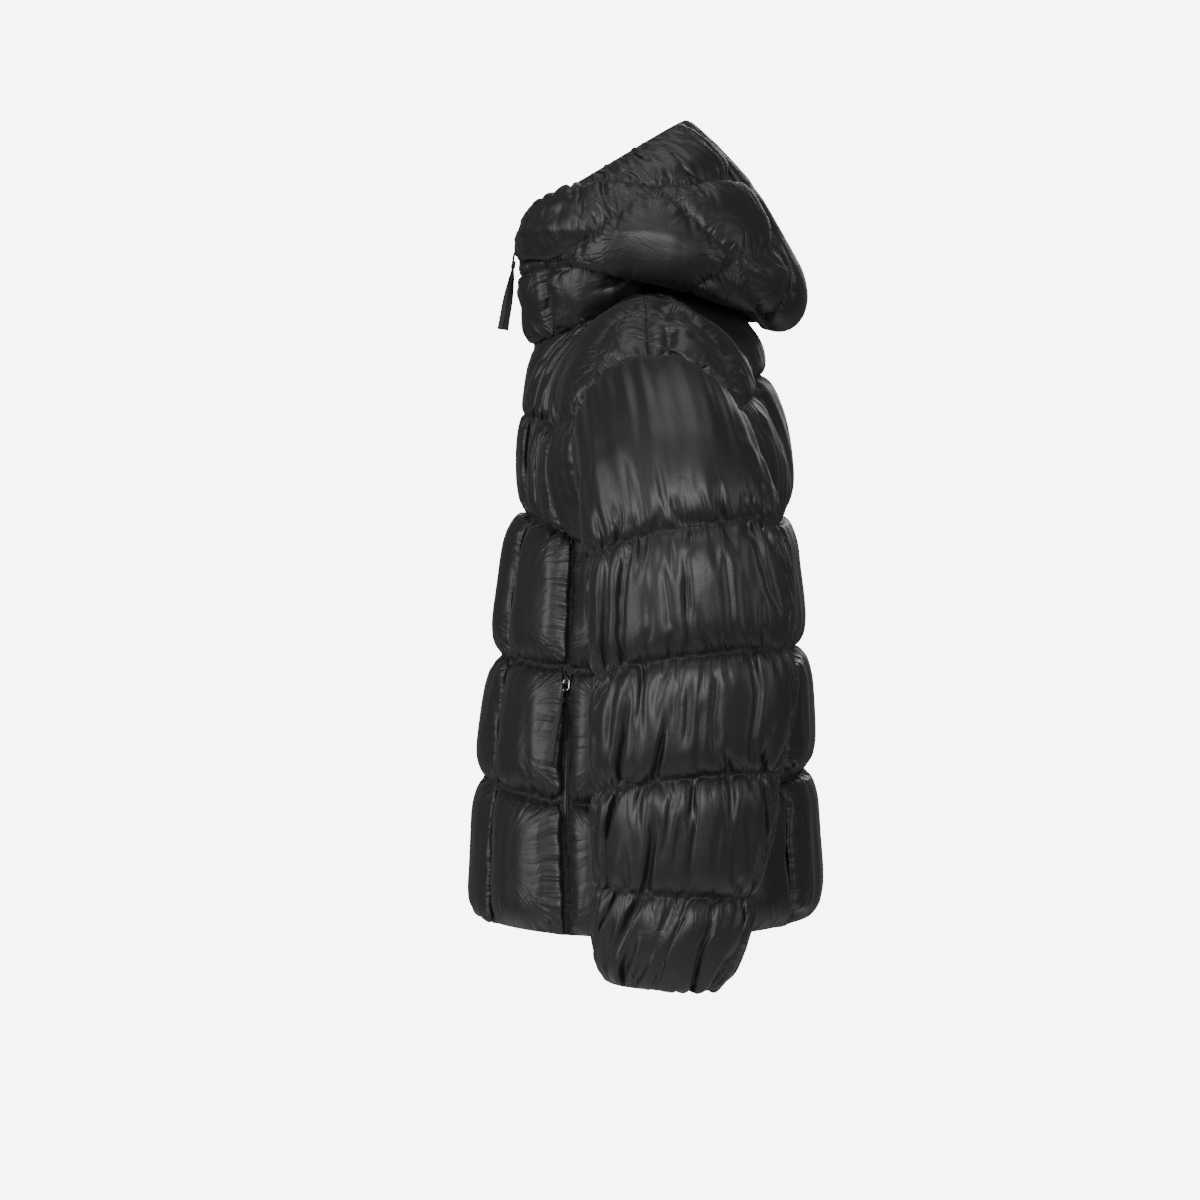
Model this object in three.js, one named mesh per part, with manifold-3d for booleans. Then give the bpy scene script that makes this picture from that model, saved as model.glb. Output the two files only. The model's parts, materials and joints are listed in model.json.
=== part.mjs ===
// A hooded down parka in the form that it takes when it is worn: fronts, back, two-piece sleeves, collar
// and a three-piece hood that lies down behind the neck, with its zips, sliders and ribbon pulls.
// Millimetres, +Z up. The front faces -Y and the wearer's left is +X. The origin lies between the
// shoulders, at the height of the shoulder-neck points. Each wall is padded: plain inside, quilted outside.
import * as THREE from "three";
import { mergeVertices } from "three/addons/utils/BufferGeometryUtils.js";
import Module from "manifold-3d";

// Cloth
const WALL = 3; // shell, thin down and lining together, where a seam is stitched through
const SEAM_GAP = 0.3; // between two sewn pieces
const PUFF_SLOPE_WIDTH = 55; // how far from a seam a chamber reaches its full height
const PUFF_ROUNDNESS = 0.72; // lower is rounder beside the seam

// Torso below the armholes: one row for each quilting seam, from the hem up. middle is the y of the side
// seam, half its x. The three heights are at the centre front, side and centre back. pocket is the pocket
// seam's share of the way round from the centre front to the side.
const TORSO = [
  {
    at: 0, yFront: -179, yBack: 179, middle: 2, half: 246,
    zFront: -664, zSide: -674, zBack: -662, pocket: 0.74,
  },
  {
    at: 1, yFront: -171, yBack: 168, middle: 5, half: 236,
    zFront: -519, zSide: -544, zBack: -510, pocket: 0.7,
  },
  {
    at: 2, yFront: -153, yBack: 160, middle: 14, half: 228,
    zFront: -390, zSide: -405, zBack: -380, pocket: 0.66,
  },
  {
    at: 3, yFront: -127, yBack: 144, middle: 24, half: 222,
    zFront: -239, zSide: -285, zBack: -241, pocket: 0.58,
  },
];
const TORSO_ROUNDNESS = 0.88; // 1 is an ellipse, lower is boxier
const FRONT_EDGE = 7; // half the width of the front zip's gap
// The yoke seam's share of the way from the chest seam to the neck and shoulder, from the centre (0) to the
// armhole.
const YOKE = {
  Front: [
    { at: 0, share: 0.61 },
    { at: 0.27, share: 0.52 },
    { at: 0.45, share: 0.45 },
    { at: 0.64, share: 0.46 },
    { at: 1, share: 0.61 },
  ],
  Back: [
    { at: 0, share: 0.61 },
    { at: 0.33, share: 0.57 },
    { at: 0.6, share: 0.55 },
    { at: 1, share: 0.61 },
  ],
};
const CHEST_FULLNESS = 2;
const BACK_FULLNESS = 15;

// Quilting columns, as shares of the way from the centre to the side
const PRINCESS_AT = 0.27;
const POCKET_AT = 0.64;
const POCKET_FLAT = 4; // half the width of the flat strip that the pocket zip lies on

// Neck and shoulder
const NECK = { y: -21, radius: 97, zFront: -59, zBack: 5 };
const SHOULDER_NECK_ANGLE = 100; // degrees round the neck from the centre front
const BACK_NECK_SHARE = 0.327; // share of the back's top that is neckline
const SHOULDER_DROP_POWER = 2.6;
// The curved seam round the shoulder point, as shares of the shoulder seam and of the armhole.
const CAP_SEAM = { Front: { along: 0.22, down: 0.25 }, Back: { along: 0.27, down: 0.36 } };

// Sleeve: one row for each ring. rise lifts the outer side, lean lifts the front, sway moves the outer side
// to -Y, and square makes the back half boxier where it is under 1.
const SLEEVE = [
  { at: 0, x: 243.5, y: 12, z: -185.5, wide: 21.5, deep: 80, rise: 99.5, lean: 0, sway: -12, square: 0.8 },
  { at: 0.5, x: 294, y: 22, z: -225, wide: 59, deep: 81, rise: 68, lean: -8, sway: -5, square: 0.85 },
  { at: 1, x: 323, y: 35, z: -279, wide: 72, deep: 91, rise: 17, lean: -16, sway: 0, square: 0.95 },
  { at: 2, x: 337, y: 46, z: -394, wide: 68, deep: 95, rise: 8, lean: -12, sway: 0, square: 1 },
  { at: 3, x: 342, y: 38, z: -512, wide: 64, deep: 86, rise: 6, lean: -9, sway: 0, square: 1 },
  { at: 4, x: 342, y: 28, z: -617, wide: 58, deep: 75, rise: -4, lean: 4, sway: 0, square: 1 },
  { at: 4.5, x: 341, y: 21, z: -665, wide: 54, deep: 69, rise: -4, lean: 3, sway: 0, square: 1 },
  { at: 5, x: 340, y: 16, z: -711, wide: 46, deep: 55, rise: -3, lean: 2, sway: 0, square: 1 },
];
const SLEEVE_BACK_SEAM = -90; // degrees round the sleeve: 0 is outside, 90 is front
const SLEEVE_INNER_SEAM = 112; // degrees
const CUFF_SEAM_TWIST = 34; // how far the back seam turns outwards below the wrist seam

// Hood: a row for each direction round the neck. out is the distance from the neck's axis, up is the height.
const HOOD = [
  {
    at: 0, tuckOut: 114, tuckUp: 27, foldOut: 114, foldUp: 37,
    wideOut: 112, wideUp: 48, crownOut: 110, crownUp: 60,
  },
  {
    at: 45, tuckOut: 112, tuckUp: 27, foldOut: 118, foldUp: 30,
    wideOut: 122, wideUp: 52, crownOut: 114, crownUp: 76,
  },
  {
    at: 90, tuckOut: 124, tuckUp: 27, foldOut: 141, foldUp: 6,
    wideOut: 153, wideUp: 46, crownOut: 127, crownUp: 96,
  },
  {
    at: 135, tuckOut: 116, tuckUp: 27, foldOut: 153, foldUp: -18,
    wideOut: 174, wideUp: 22, crownOut: 132, crownUp: 106,
  },
  {
    at: 180, tuckOut: 105, tuckUp: 27, foldOut: 153, foldUp: -41,
    wideOut: 181, wideUp: 0, crownOut: 124, crownUp: 98,
  },
];
// The hood's face opening
const OPENING = { y: -42, z: 124, halfWidth: 92, halfDepth: 87, halfRise: 52, ends: 5 };
const HOOD_STRIP_AT = 158; // degrees round the neck: the seam of the hood's centre strip
const HOOD_AXIS_Y = -20;

// The hood's quilting on each side, as (y, z) from the side: two lines cross at two places.
const HOOD_QUILTING = [
  [[-68, 104], [-32, 103], [10, 96], [54, 102], [92, 112]],
  [[10, 96], [-25, 70], [-62, 42], [-92, 26]],
  [[10, 96], [44, 64], [70, 42], [94, 23], [106, -6], [118, -28]],
  [[94, 23], [120, 30], [146, 45]],
  [[94, 23], [68, 4], [46, -8]],
];

// Collar: from the neck seam to the hood
const COLLAR = [
  { at: 0, topOut: 114 },
  { at: 45, topOut: 112 },
  { at: 90, topOut: 124 },
  { at: 135, topOut: 116 },
  { at: 180, topOut: 105 },
];
const COLLAR_TOP = 26.4;

// Chamber heights
const PUFF = { underArm: 6, sleeve: 18, sleeveEdge: 7, hood: 13, collar: 9 };
const FRONT_PUFF = { middle: [11, 13, 18, 6, 4], side: [18, 18, 18, 15, 10] }; // one value for each torso row
const BACK_PUFF = { middle: [14, 14, 14, 12, 12], side: [18, 18, 18, 15, 13] };

// Zips, sliders and pulls
const ZIP = { tape: 1.6, teeth: 3, teethWidth: 2.45, sink: 2.4, top: 3.8, sliderAt: 2.1, partedTop: 2.6 };
const POCKET_ZIP = { halfWidth: 3, height: 1.5 };
const NECK_ZIP = { low: 0.12, high: 0.62, lift: 0.5, height: 1.8 };
const SLIDER = { width: 9, length: 13, height: 2.8, bridgeWidth: 2.2, bridgeHeight: 3.8, bridgeBar: 1 };
const RING = { width: 8.6, length: 12, bar: 1.3 };
const KNOT = { width: 6.5, length: 11, thickness: 5, cordWidth: 2.4, cordLength: 9 };
// lean is in degrees from plumb, away from the body; tailSpread is in degrees for each tail.
const FRONT_PULL = { lean: 10, tailWidth: 7, tailLength: 68, tailThickness: 1.6, tailSpread: [-4.5, 4] };
const POCKET_PULL = { lean: 14, tailWidth: 6.5, tailLength: 62, tailThickness: 1.6, tailSpread: [0, 2.8] };

// Mesh fineness: steps across each torso row
const ROW_STEPS = [5, 5, 5, 7, 6];
const RIGHT = Math.PI / 2;
const radians = THREE.MathUtils.degToRad;
const clamp = THREE.MathUtils.clamp;
const lerp = THREE.MathUtils.lerp;
const point = (x, y, z) => new THREE.Vector3(x, y, z);

// A smooth curve through one named column of a table, at any place along its at column.
function along(table, column, at) {
  const last = table.length - 1;
  let i = 0;
  while (i < last - 1 && at > table[i + 1].at) i += 1;
  const slope = (k) => {
    const a = table[Math.max(0, k - 1)];
    const b = table[Math.min(last, k + 1)];
    return (b[column] - a[column]) / (b.at - a.at);
  };
  const span = table[i + 1].at - table[i].at;
  const t = clamp((at - table[i].at) / span, 0, 1);
  const t2 = t * t;
  const t3 = t2 * t;
  return (
    table[i][column] * (2 * t3 - 3 * t2 + 1) +
    slope(i) * span * (t3 - 2 * t2 + t) +
    table[i + 1][column] * (3 * t2 - 2 * t3) +
    slope(i + 1) * span * (t3 - t2)
  );
}

// How full a chamber is at a distance in mm from a seam: 0 on the seam, 1 well inside.
function fullness(distance, width = PUFF_SLOPE_WIDTH) {
  const q = clamp(distance / width, 0, 1);
  return (1 - (1 - q) ** 2) ** PUFF_ROUNDNESS;
}

const ease = (t) => {
  const q = clamp(t, 0, 1);
  return q * q * (3 - 2 * q);
};

// Half the x of a ring round the neck that keeps clear of the front zip.
const ringX = (out, turn) => out * Math.sin(turn) + FRONT_EDGE * Math.max(0, Math.cos(turn));

// The neckline, by degrees round from the centre front, 0 to 180.
function neckline(angle) {
  const turn = radians(angle);
  const share = (1 - Math.cos(turn)) / 2;
  const rise = Math.sin((Math.PI * share) / 2) ** 1.5;
  return point(
    ringX(NECK.radius, turn),
    NECK.y - NECK.radius * Math.cos(turn),
    lerp(NECK.zFront, NECK.zBack, rise),
  );
}

// A ring of the sleeve. Ring 0 is the armhole.
function sleeveRing(at, degrees) {
  const turn = radians(degrees);
  const r = (column) => along(SLEEVE, column, at);
  const power = Math.sin(turn) < 0 ? r("square") : 1;
  const out = Math.sign(Math.cos(turn)) * Math.abs(Math.cos(turn)) ** power;
  const front = Math.sign(Math.sin(turn)) * Math.abs(Math.sin(turn)) ** power;
  return point(
    r("x") + r("wide") * out,
    r("y") + r("sway") * out - r("deep") * front,
    r("z") + r("rise") * out + r("lean") * front,
  );
}
const sleeveCentre = (at) => point(along(SLEEVE, "x", at), along(SLEEVE, "y", at), along(SLEEVE, "z", at));

// The shoulder seam, from the neck (0) to the shoulder point (1).
function shoulderSeam(share) {
  const a = neckline(SHOULDER_NECK_ANGLE);
  const b = sleeveRing(0, 0);
  return point(
    lerp(a.x, b.x, share),
    lerp(a.y, b.y, share),
    a.z + (b.z - a.z) * share ** SHOULDER_DROP_POWER,
  );
}

const sign = { Front: -1, Back: 1 };
const edgeX = { Front: FRONT_EDGE, Back: 0 };

// Places from a to b with more of them near the ends, for a chamber.
function chamber(a, b, steps) {
  return Array.from({ length: steps }, (_, i) => lerp(a, b, (1 - Math.cos((Math.PI * i) / steps)) / 2));
}

// Places along one direction of a panel: seams at the given places, and the steps in each chamber.
function places(seams, steps) {
  const all = [];
  for (let i = 0; i + 1 < seams.length; i += 1) all.push(...chamber(seams[i], seams[i + 1], steps[i]));
  return [...all, seams[seams.length - 1]];
}

// The grid lines of the fronts and the back. Those on the neckline and the shoulder seam are shared with
// what is sewn there.
const PANEL_WIDTH = 300;
const FLAT = POCKET_FLAT / PANEL_WIDTH;
const FRONT_SEAMS = [0, PRINCESS_AT, POCKET_AT - FLAT, POCKET_AT, POCKET_AT + FLAT, 1];
const FRONT_LINES = places(FRONT_SEAMS, [5, 6, 1, 1, 5]);
const FRONT_NECK_LINE = 8;
const NECK_SHARE = { Front: FRONT_LINES[FRONT_NECK_LINE], Back: BACK_NECK_SHARE };
const SHOULDER_SHARES = FRONT_LINES.slice(FRONT_NECK_LINE).map(
  (c) => (c - NECK_SHARE.Front) / (1 - NECK_SHARE.Front),
);
const BACK_LINES = [
  ...[0, 0.09, 0.33, 0.66].map((share) => share * NECK_SHARE.Back),
  ...SHOULDER_SHARES.map((share) => lerp(NECK_SHARE.Back, 1, share)),
];
const BACK_COLUMN_AT = BACK_LINES[5];
const ROW_LINES = places([0, 1, 2, 3, 4, 5], ROW_STEPS);

// The neckline's angle at one place along a panel's top.
function neckAngle(side, c) {
  return lerp(side === "Front" ? 0 : 180, SHOULDER_NECK_ANGLE, c / NECK_SHARE[side]);
}
const NECK_ANGLES = [
  ...FRONT_LINES.slice(0, FRONT_NECK_LINE + 1).map((c) => neckAngle("Front", c)),
  ...BACK_LINES.slice(0, 4).reverse().map((c) => neckAngle("Back", c)),
];
const COLLAR_SEAM_AT = NECK_ANGLES[3];

// The torso below the armholes: c runs from the centre (0) to the side (1), v from the hem (0) to the chest
// seam (3).
function torsoTube(side, c, v) {
  const shift = side === "Front" ? along(TORSO, "pocket", v) - POCKET_AT : 0;
  const turn = (c + shift * Math.min(c / POCKET_AT, (1 - c) / (1 - POCKET_AT))) * RIGHT;
  const out = Math.sin(turn) ** TORSO_ROUNDNESS;
  const deep = Math.max(0, Math.cos(turn)) ** TORSO_ROUNDNESS;
  const t = (column) => along(TORSO, column, v);
  return point(
    lerp(edgeX[side], t("half"), out),
    t("middle") + (t("y" + side) - t("middle")) * deep,
    t("zSide") + (t("z" + side) - t("zSide")) * Math.cos(turn) ** 2,
  );
}

// The top of a panel: neckline, then shoulder seam.
function panelTop(side, c) {
  const share = NECK_SHARE[side];
  return c > share ? shoulderSeam((c - share) / (1 - share)) : neckline(neckAngle(side, c));
}

// The torso above the chest seam, stretched between its four edges: t runs from the chest seam (0) to the
// top (1).
function torsoYoke(side, c, t) {
  const low = (k) => torsoTube(side, k, 3);
  const armhole = sleeveRing(0, -sign[side] * 180 * (1 - t));
  const centreLow = low(0);
  const centreHigh = panelTop(side, 0);
  const centre = centreLow.clone().lerp(centreHigh, t);
  const full = side === "Front" ? CHEST_FULLNESS : BACK_FULLNESS;
  centre.y += sign[side] * full * 4 * t * (1 - t);
  const p = low(c).multiplyScalar(1 - t);
  p.addScaledVector(panelTop(side, c), t);
  p.addScaledVector(centre, 1 - c);
  p.addScaledVector(armhole, c);
  p.addScaledVector(centreLow, -(1 - c) * (1 - t));
  p.addScaledVector(centreHigh, -(1 - c) * t);
  p.addScaledVector(low(1), -c * (1 - t));
  p.addScaledVector(panelTop(side, 1), -c * t);
  p.y += sign[side] * full * 16 * c * (1 - c) * t * (1 - t) * 0.8;
  return p;
}

// Share of the yoke, from the torso's row number: 3 is the chest seam, 4 the yoke seam, 5 the top.
function yokeShare(side, c, v) {
  const seam = along(YOKE[side], "share", c);
  return v < 4 ? (v - 3) * seam : lerp(seam, 1, v - 4);
}

function torsoBase(side, c, v) {
  return v <= 3 ? torsoTube(side, c, v) : torsoYoke(side, c, yokeShare(side, c, v));
}

// Outwards from the torso: away from a line inside it.
function torsoOut(p) {
  const inside = point(clamp(p.x, -120, 120), 10, Math.min(p.z, -150));
  return p.clone().sub(inside).normalize();
}

const COLUMNS = { Front: [0, PRINCESS_AT, POCKET_AT, 1], Back: [0, BACK_COLUMN_AT, 1] };
const ROW_HEIGHTS = [145, 128, 142, 112, 118];

// How far the quilted outside stands off the torso's base at one place.
function torsoPuff(side, c, v) {
  const row = Math.min(4, Math.floor(v));
  const fromRow = Math.min(v - row, row + 1 - v) * ROW_HEIGHTS[row];
  let fromColumn = 1e3;
  const columns = row === 4 ? [0, 1] : COLUMNS[side];
  columns.forEach((seam) => {
    if (side === "Back" && seam === 0) return;
    const flat = side === "Front" && seam === POCKET_AT ? POCKET_FLAT : 0;
    fromColumn = Math.min(fromColumn, Math.max(0, Math.abs(c - seam) * PANEL_WIDTH - flat));
  });
  const puff = side === "Front" ? FRONT_PUFF : BACK_PUFF;
  let high = lerp(puff.middle[row], puff.side[row], ease(c / POCKET_AT));
  high = lerp(high, PUFF.underArm, ease((c - 0.72) / 0.28) * (v < 3.4 ? 1 : 0.4));
  let fill = fullness(fromRow) * fullness(fromColumn);
  if (row === 4) {
    const t = yokeShare(side, c, v);
    const cap = Math.hypot((1 - c) / CAP_SEAM[side].along, (1 - t) / CAP_SEAM[side].down);
    fill *= fullness(Math.abs(cap - 1) * 45, 40);
    const p = torsoBase(side, c, v);
    const nearHood = ease((p.z + 75) / 45) * ease((185 - Math.abs(p.x)) / 45);
    high = lerp(high, 5, nearHood);
  }
  return high * fill;
}

// The sleeve's base: s runs from the armhole (0) to the cuff (5).
function sleeveOut(p, at) {
  return p.clone().sub(sleeveCentre(at)).normalize();
}

const SLEEVE_LENGTHS = [150, 115, 117, 108, 94];
const SLEEVE_GIRTH = 250;

function sleevePuff(at, degrees, share) {
  const row = Math.min(4, Math.floor(at));
  const fromRow = Math.min(at - row, row + 1 - at) * SLEEVE_LENGTHS[row];
  const fromSeam = Math.min(share, 1 - share) * SLEEVE_GIRTH;
  const outer = Math.max(0, Math.cos(radians(degrees)));
  const start = at < 0.6 ? 0.75 : 1;
  return lerp(PUFF.sleeveEdge, PUFF.sleeve, outer) * start * fullness(fromRow) * fullness(fromSeam, 35);
}

// The back seam's angle, which turns outwards below the wrist.
const backSeam = (at) => SLEEVE_BACK_SEAM + CUFF_SEAM_TWIST * ease(at - 4);

// Distance in mm from a point, seen from the side, to the nearest quilting line of the hood.
function fromHoodQuilting(p) {
  let least = 1e3;
  const at = new THREE.Vector2(p.y, p.z);
  HOOD_QUILTING.forEach((line) => {
    for (let i = 0; i + 1 < line.length; i += 1) {
      const a = new THREE.Vector2(...line[i]);
      const b = new THREE.Vector2(...line[i + 1]).sub(a);
      const t = clamp(at.clone().sub(a).dot(b) / b.lengthSq(), 0, 1);
      least = Math.min(least, at.distanceTo(a.addScaledVector(b, t)));
    }
  });
  return least;
}

const HOOD_LEVELS = ["tuck", "fold", "wide", "crown"];

// The hood's base: round is in degrees from the centre front, s runs from the collar (0) to the face
// opening (4).
function hoodBase(round, s) {
  const turn = radians(round);
  const profile = HOOD_LEVELS.map((level, i) => ({
    at: i,
    out: along(HOOD, level + "Out", round),
    up: along(HOOD, level + "Up", round),
  }));
  const edgeAt = point(
    ringX(OPENING.halfWidth, turn),
    OPENING.y - OPENING.halfDepth * Math.cos(turn),
    OPENING.z - OPENING.halfRise * Math.cos(turn) + OPENING.ends * Math.cos(turn) ** 2,
  );
  const table = profile.map((row) => ({
    at: row.at,
    x: ringX(row.out, turn),
    y: HOOD_AXIS_Y - row.out * Math.cos(turn),
    z: row.up,
  }));
  table.push({ at: 4, x: edgeAt.x, y: edgeAt.y, z: edgeAt.z });
  return point(along(table, "x", s), along(table, "y", s), along(table, "z", s));
}

function hoodOut(round, s) {
  const d = 0.02;
  const r = clamp(round, 1, 179);
  const k = clamp(s, d, 4 - d);
  const across = hoodBase(r + 0.5, k).sub(hoodBase(r - 0.5, k));
  const up = hoodBase(r, k + d).sub(hoodBase(r, k - d));
  const n = across.cross(up).normalize();
  const centre = ease((round - 170) / 10) + ease((10 - round) / 10);
  n.x *= 1 - Math.min(1, centre);
  return n.normalize();
}

function hoodPuff(round, s, p) {
  const fromStrip = Math.abs(round - HOOD_STRIP_AT) * 2.4;
  const fromEdge = (4 - s) * 55;
  const side = round < HOOD_STRIP_AT ? fullness(fromHoodQuilting(p), 34) : 1;
  const outside = ease((s - 0.75) / 0.6);
  const front = lerp(0.2, 1, ease((round - 5) / 45));
  return PUFF.hood * outside * front * side * fullness(fromStrip, 26) * fullness(fromEdge, 26);
}

// The collar's base: h runs from the neck seam (0) to the hood (1).
function collarBase(round, h) {
  const turn = radians(round);
  const out = along(COLLAR, "topOut", round);
  const high = point(ringX(out, turn), HOOD_AXIS_Y - out * Math.cos(turn), COLLAR_TOP);
  return neckline(round).lerp(high, h);
}

function collarPuff(round, h) {
  const tall = COLLAR_TOP - neckline(round).z;
  const fromSeam = Math.min(h, 1 - h) * tall;
  const fromColumn = Math.min(Math.abs(round - COLLAR_SEAM_AT), round) * 1.9;
  const high = lerp(PUFF.collar, 3, ease((round - 70) / 40));
  return high * fullness(fromSeam, 30) * fullness(fromColumn, 24);
}

// A closed wall between an outer grid and a coarser inner grid. outer and inner give a point at (u, v), and
// every skip-th place of us and vs carries the inner grid.
function wall(us, vs, outer, inner, skip = 2) {
  const positions = [];
  const triangles = [];
  const add = (p) => positions.push(p.x, p.y, p.z) / 3 - 1;
  const coarse = (list) => list.map((_, i) => i).filter((i) => i % skip === 0 || i === list.length - 1);
  const outerAt = us.map((u) => vs.map((v) => add(outer(u, v))));
  const cu = coarse(us);
  const cv = coarse(vs);
  const innerAt = new Map();
  cu.forEach((i) => cv.forEach((j) => innerAt.set(i + "," + j, add(inner(us[i], vs[j])))));
  const innerOf = (i, j) => innerAt.get(i + "," + j);
  for (let i = 0; i + 1 < us.length; i += 1) {
    for (let j = 0; j + 1 < vs.length; j += 1) {
      const [a, b, c, d] = [outerAt[i][j], outerAt[i + 1][j], outerAt[i + 1][j + 1], outerAt[i][j + 1]];
      if ((i + j) % 2) triangles.push(a, b, c, a, c, d);
      else triangles.push(a, b, d, b, c, d);
    }
  }
  for (let i = 0; i + 1 < cu.length; i += 1) {
    for (let j = 0; j + 1 < cv.length; j += 1) {
      const a = innerOf(cu[i], cv[j]);
      const b = innerOf(cu[i + 1], cv[j]);
      const c = innerOf(cu[i + 1], cv[j + 1]);
      const d = innerOf(cu[i], cv[j + 1]);
      triangles.push(a, c, b, a, d, c);
    }
  }
  // One edge: the outer grid's places in order, and the inner grid's places among them.
  const rim = (outerLine, innerLine) => {
    for (let k = 0; k + 1 < innerLine.length; k += 1) {
      const [from, low] = innerLine[k];
      const [to, high] = innerLine[k + 1];
      const half = Math.floor((from + to) / 2);
      for (let i = from; i < half; i += 1) triangles.push(outerLine[i + 1], outerLine[i], low);
      triangles.push(outerLine[half], low, high);
      for (let i = half; i < to; i += 1) triangles.push(outerLine[i + 1], outerLine[i], high);
    }
  };
  const lastU = us.length - 1;
  const lastV = vs.length - 1;
  rim(us.map((_, i) => outerAt[i][0]), cu.map((i) => [i, innerOf(i, 0)]));
  rim(vs.map((_, j) => outerAt[lastU][j]), cv.map((j) => [j, innerOf(lastU, j)]));
  rim(
    us.map((_, i) => outerAt[lastU - i][lastV]),
    [...cu].reverse().map((i) => [lastU - i, innerOf(i, lastV)]),
  );
  rim(
    vs.map((_, j) => outerAt[0][lastV - j]),
    [...cv].reverse().map((j) => [lastV - j, innerOf(0, j)]),
  );
  return solid(positions, triangles);
}

// A geometry from positions and triangles, with its faces pointing out.
function solid(positions, triangles) {
  let volume = 0;
  const at = (i) => point(positions[3 * i], positions[3 * i + 1], positions[3 * i + 2]);
  for (let i = 0; i < triangles.length; i += 3) {
    volume += at(triangles[i]).dot(at(triangles[i + 1]).cross(at(triangles[i + 2])));
  }
  const faces = [...triangles];
  if (volume < 0) {
    for (let i = 0; i < faces.length; i += 3) [faces[i + 1], faces[i + 2]] = [faces[i + 2], faces[i + 1]];
  }
  const geometry = new THREE.BufferGeometry();
  geometry.setAttribute("position", new THREE.Float32BufferAttribute(positions, 3));
  geometry.setIndex(faces);
  geometry.computeVertexNormals();
  return geometry;
}

// The other side's copy of a geometry.
function mirrored(geometry) {
  const positions = Array.from(geometry.getAttribute("position").array, (x, i) => (i % 3 ? x : -x));
  return solid(positions, [...geometry.index.array]);
}

// A closed tube through rings that hold the same number of points.
function loft(rings) {
  const count = rings[0].length;
  const positions = rings.flat().flatMap((p) => [p.x, p.y, p.z]);
  const triangles = [];
  for (let r = 0; r + 1 < rings.length; r += 1) {
    for (let i = 0; i < count; i += 1) {
      const a = r * count + i;
      const b = r * count + ((i + 1) % count);
      triangles.push(a, b, b + count, a, b + count, a + count);
    }
  }
  const cap = (offset, order) => {
    for (let i = 1; i + 1 < count; i += 1) triangles.push(...order(offset, offset + i, offset + i + 1));
  };
  cap(0, (a, b, c) => [a, c, b]);
  cap((rings.length - 1) * count, (a, b, c) => [a, b, c]);
  return solid(positions, triangles);
}

// Cloth panels
const trim = 0.0005;
const trimmed = (lines, end) => lines.map((line) => Math.min(line, end));

function frontPanel() {
  const at = (c, v, lift) => {
    const p = torsoBase("Front", c, v);
    return p.addScaledVector(torsoOut(p), lift);
  };
  return wall(
    trimmed(FRONT_LINES, 1 - trim),
    trimmed(ROW_LINES, 5 - 2 * trim),
    (c, v) => at(c, v, torsoPuff("Front", c, v)),
    (c, v) => at(c, v, -WALL),
  );
}

function backPanel() {
  const half = trimmed(BACK_LINES, 1 - trim);
  const at = (c, v, lift) => {
    const p = torsoBase("Back", Math.abs(c), v);
    p.x *= Math.sign(c) || 1;
    return p.addScaledVector(torsoOut(p), lift);
  };
  return wall(
    [...half.slice(1).reverse().map((c) => -c), ...half],
    trimmed(ROW_LINES, 5 - 2 * trim),
    (c, v) => at(c, v, torsoPuff("Back", Math.abs(c), v)),
    (c, v) => at(c, v, -WALL),
  );
}

// The armhole's grid lines in degrees, which the fronts and the back give.
const ARMHOLE_LINES = ROW_LINES.filter((v) => v >= 3).map((v) => 180 * (1 - yokeShare("Front", 1, v)));
const INNER_SEAM_LINE = 4;
const BACK_SEAM_LINE = 5;

// One of the sleeve's two panels. Its grid lines start at the armhole's and spread out evenly by the first
// seam.
function sleevePanel(lines, from, to) {
  const vs = places([0.008, 1, 2, 3, 4, 5], [5, 5, 5, 5, 5]);
  const count = lines.length - 1;
  const gap = 0.13; // degrees, half a seam's gap
  const at = (i, s, lift) => {
    const first = lines[i] + (i === 0 ? gap : i === count ? -gap : 0);
    const later = lerp(from(s) + gap, to(s) - gap, i / count);
    const degrees = lerp(first, later, ease(s));
    const p = sleeveRing(s, degrees);
    return p.addScaledVector(sleeveOut(p, s), lift < 0 ? lift : sleevePuff(s, degrees, i / count));
  };
  const us = lines.map((_, i) => i);
  return wall(us, vs, (i, s) => at(i, s, 1), (i, s) => at(i, s, -WALL));
}

function sleeveUpper() {
  const front = ARMHOLE_LINES.slice(INNER_SEAM_LINE);
  const back = ARMHOLE_LINES.slice(BACK_SEAM_LINE).map((a) => -a);
  return sleevePanel([...back, ...front.slice(0, -1).reverse()], backSeam, () => SLEEVE_INNER_SEAM);
}

function sleeveUnder() {
  const front = ARMHOLE_LINES.slice(0, INNER_SEAM_LINE + 1).reverse();
  const back = ARMHOLE_LINES.slice(1, BACK_SEAM_LINE + 1).map((a) => 360 - a);
  return sleevePanel([...front, ...back], () => SLEEVE_INNER_SEAM, (s) => 360 + backSeam(s));
}

function hoodPanel(rounds) {
  const levels = places([0, 1, 2, 3, 4], [3, 4, 5, 5]);
  const at = (round, s, lift) => {
    const m = round > 180 ? 360 - round : round;
    const p = hoodBase(m, s);
    p.addScaledVector(hoodOut(m, s), lift < 0 ? lift : hoodPuff(m, s, p));
    if (round > 180) p.x = -p.x;
    return p;
  };
  return wall(rounds, levels, (r, s) => at(r, s, 1), (r, s) => at(r, s, -WALL), 1);
}

function hoodSide() {
  const last = HOOD_STRIP_AT - 0.08;
  return hoodPanel(Array.from({ length: 19 }, (_, i) => last * (i / 18) ** 0.9));
}

function hoodCentre() {
  const first = HOOD_STRIP_AT + 0.08;
  return hoodPanel(Array.from({ length: 9 }, (_, i) => lerp(first, 360 - first, i / 8)));
}

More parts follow.
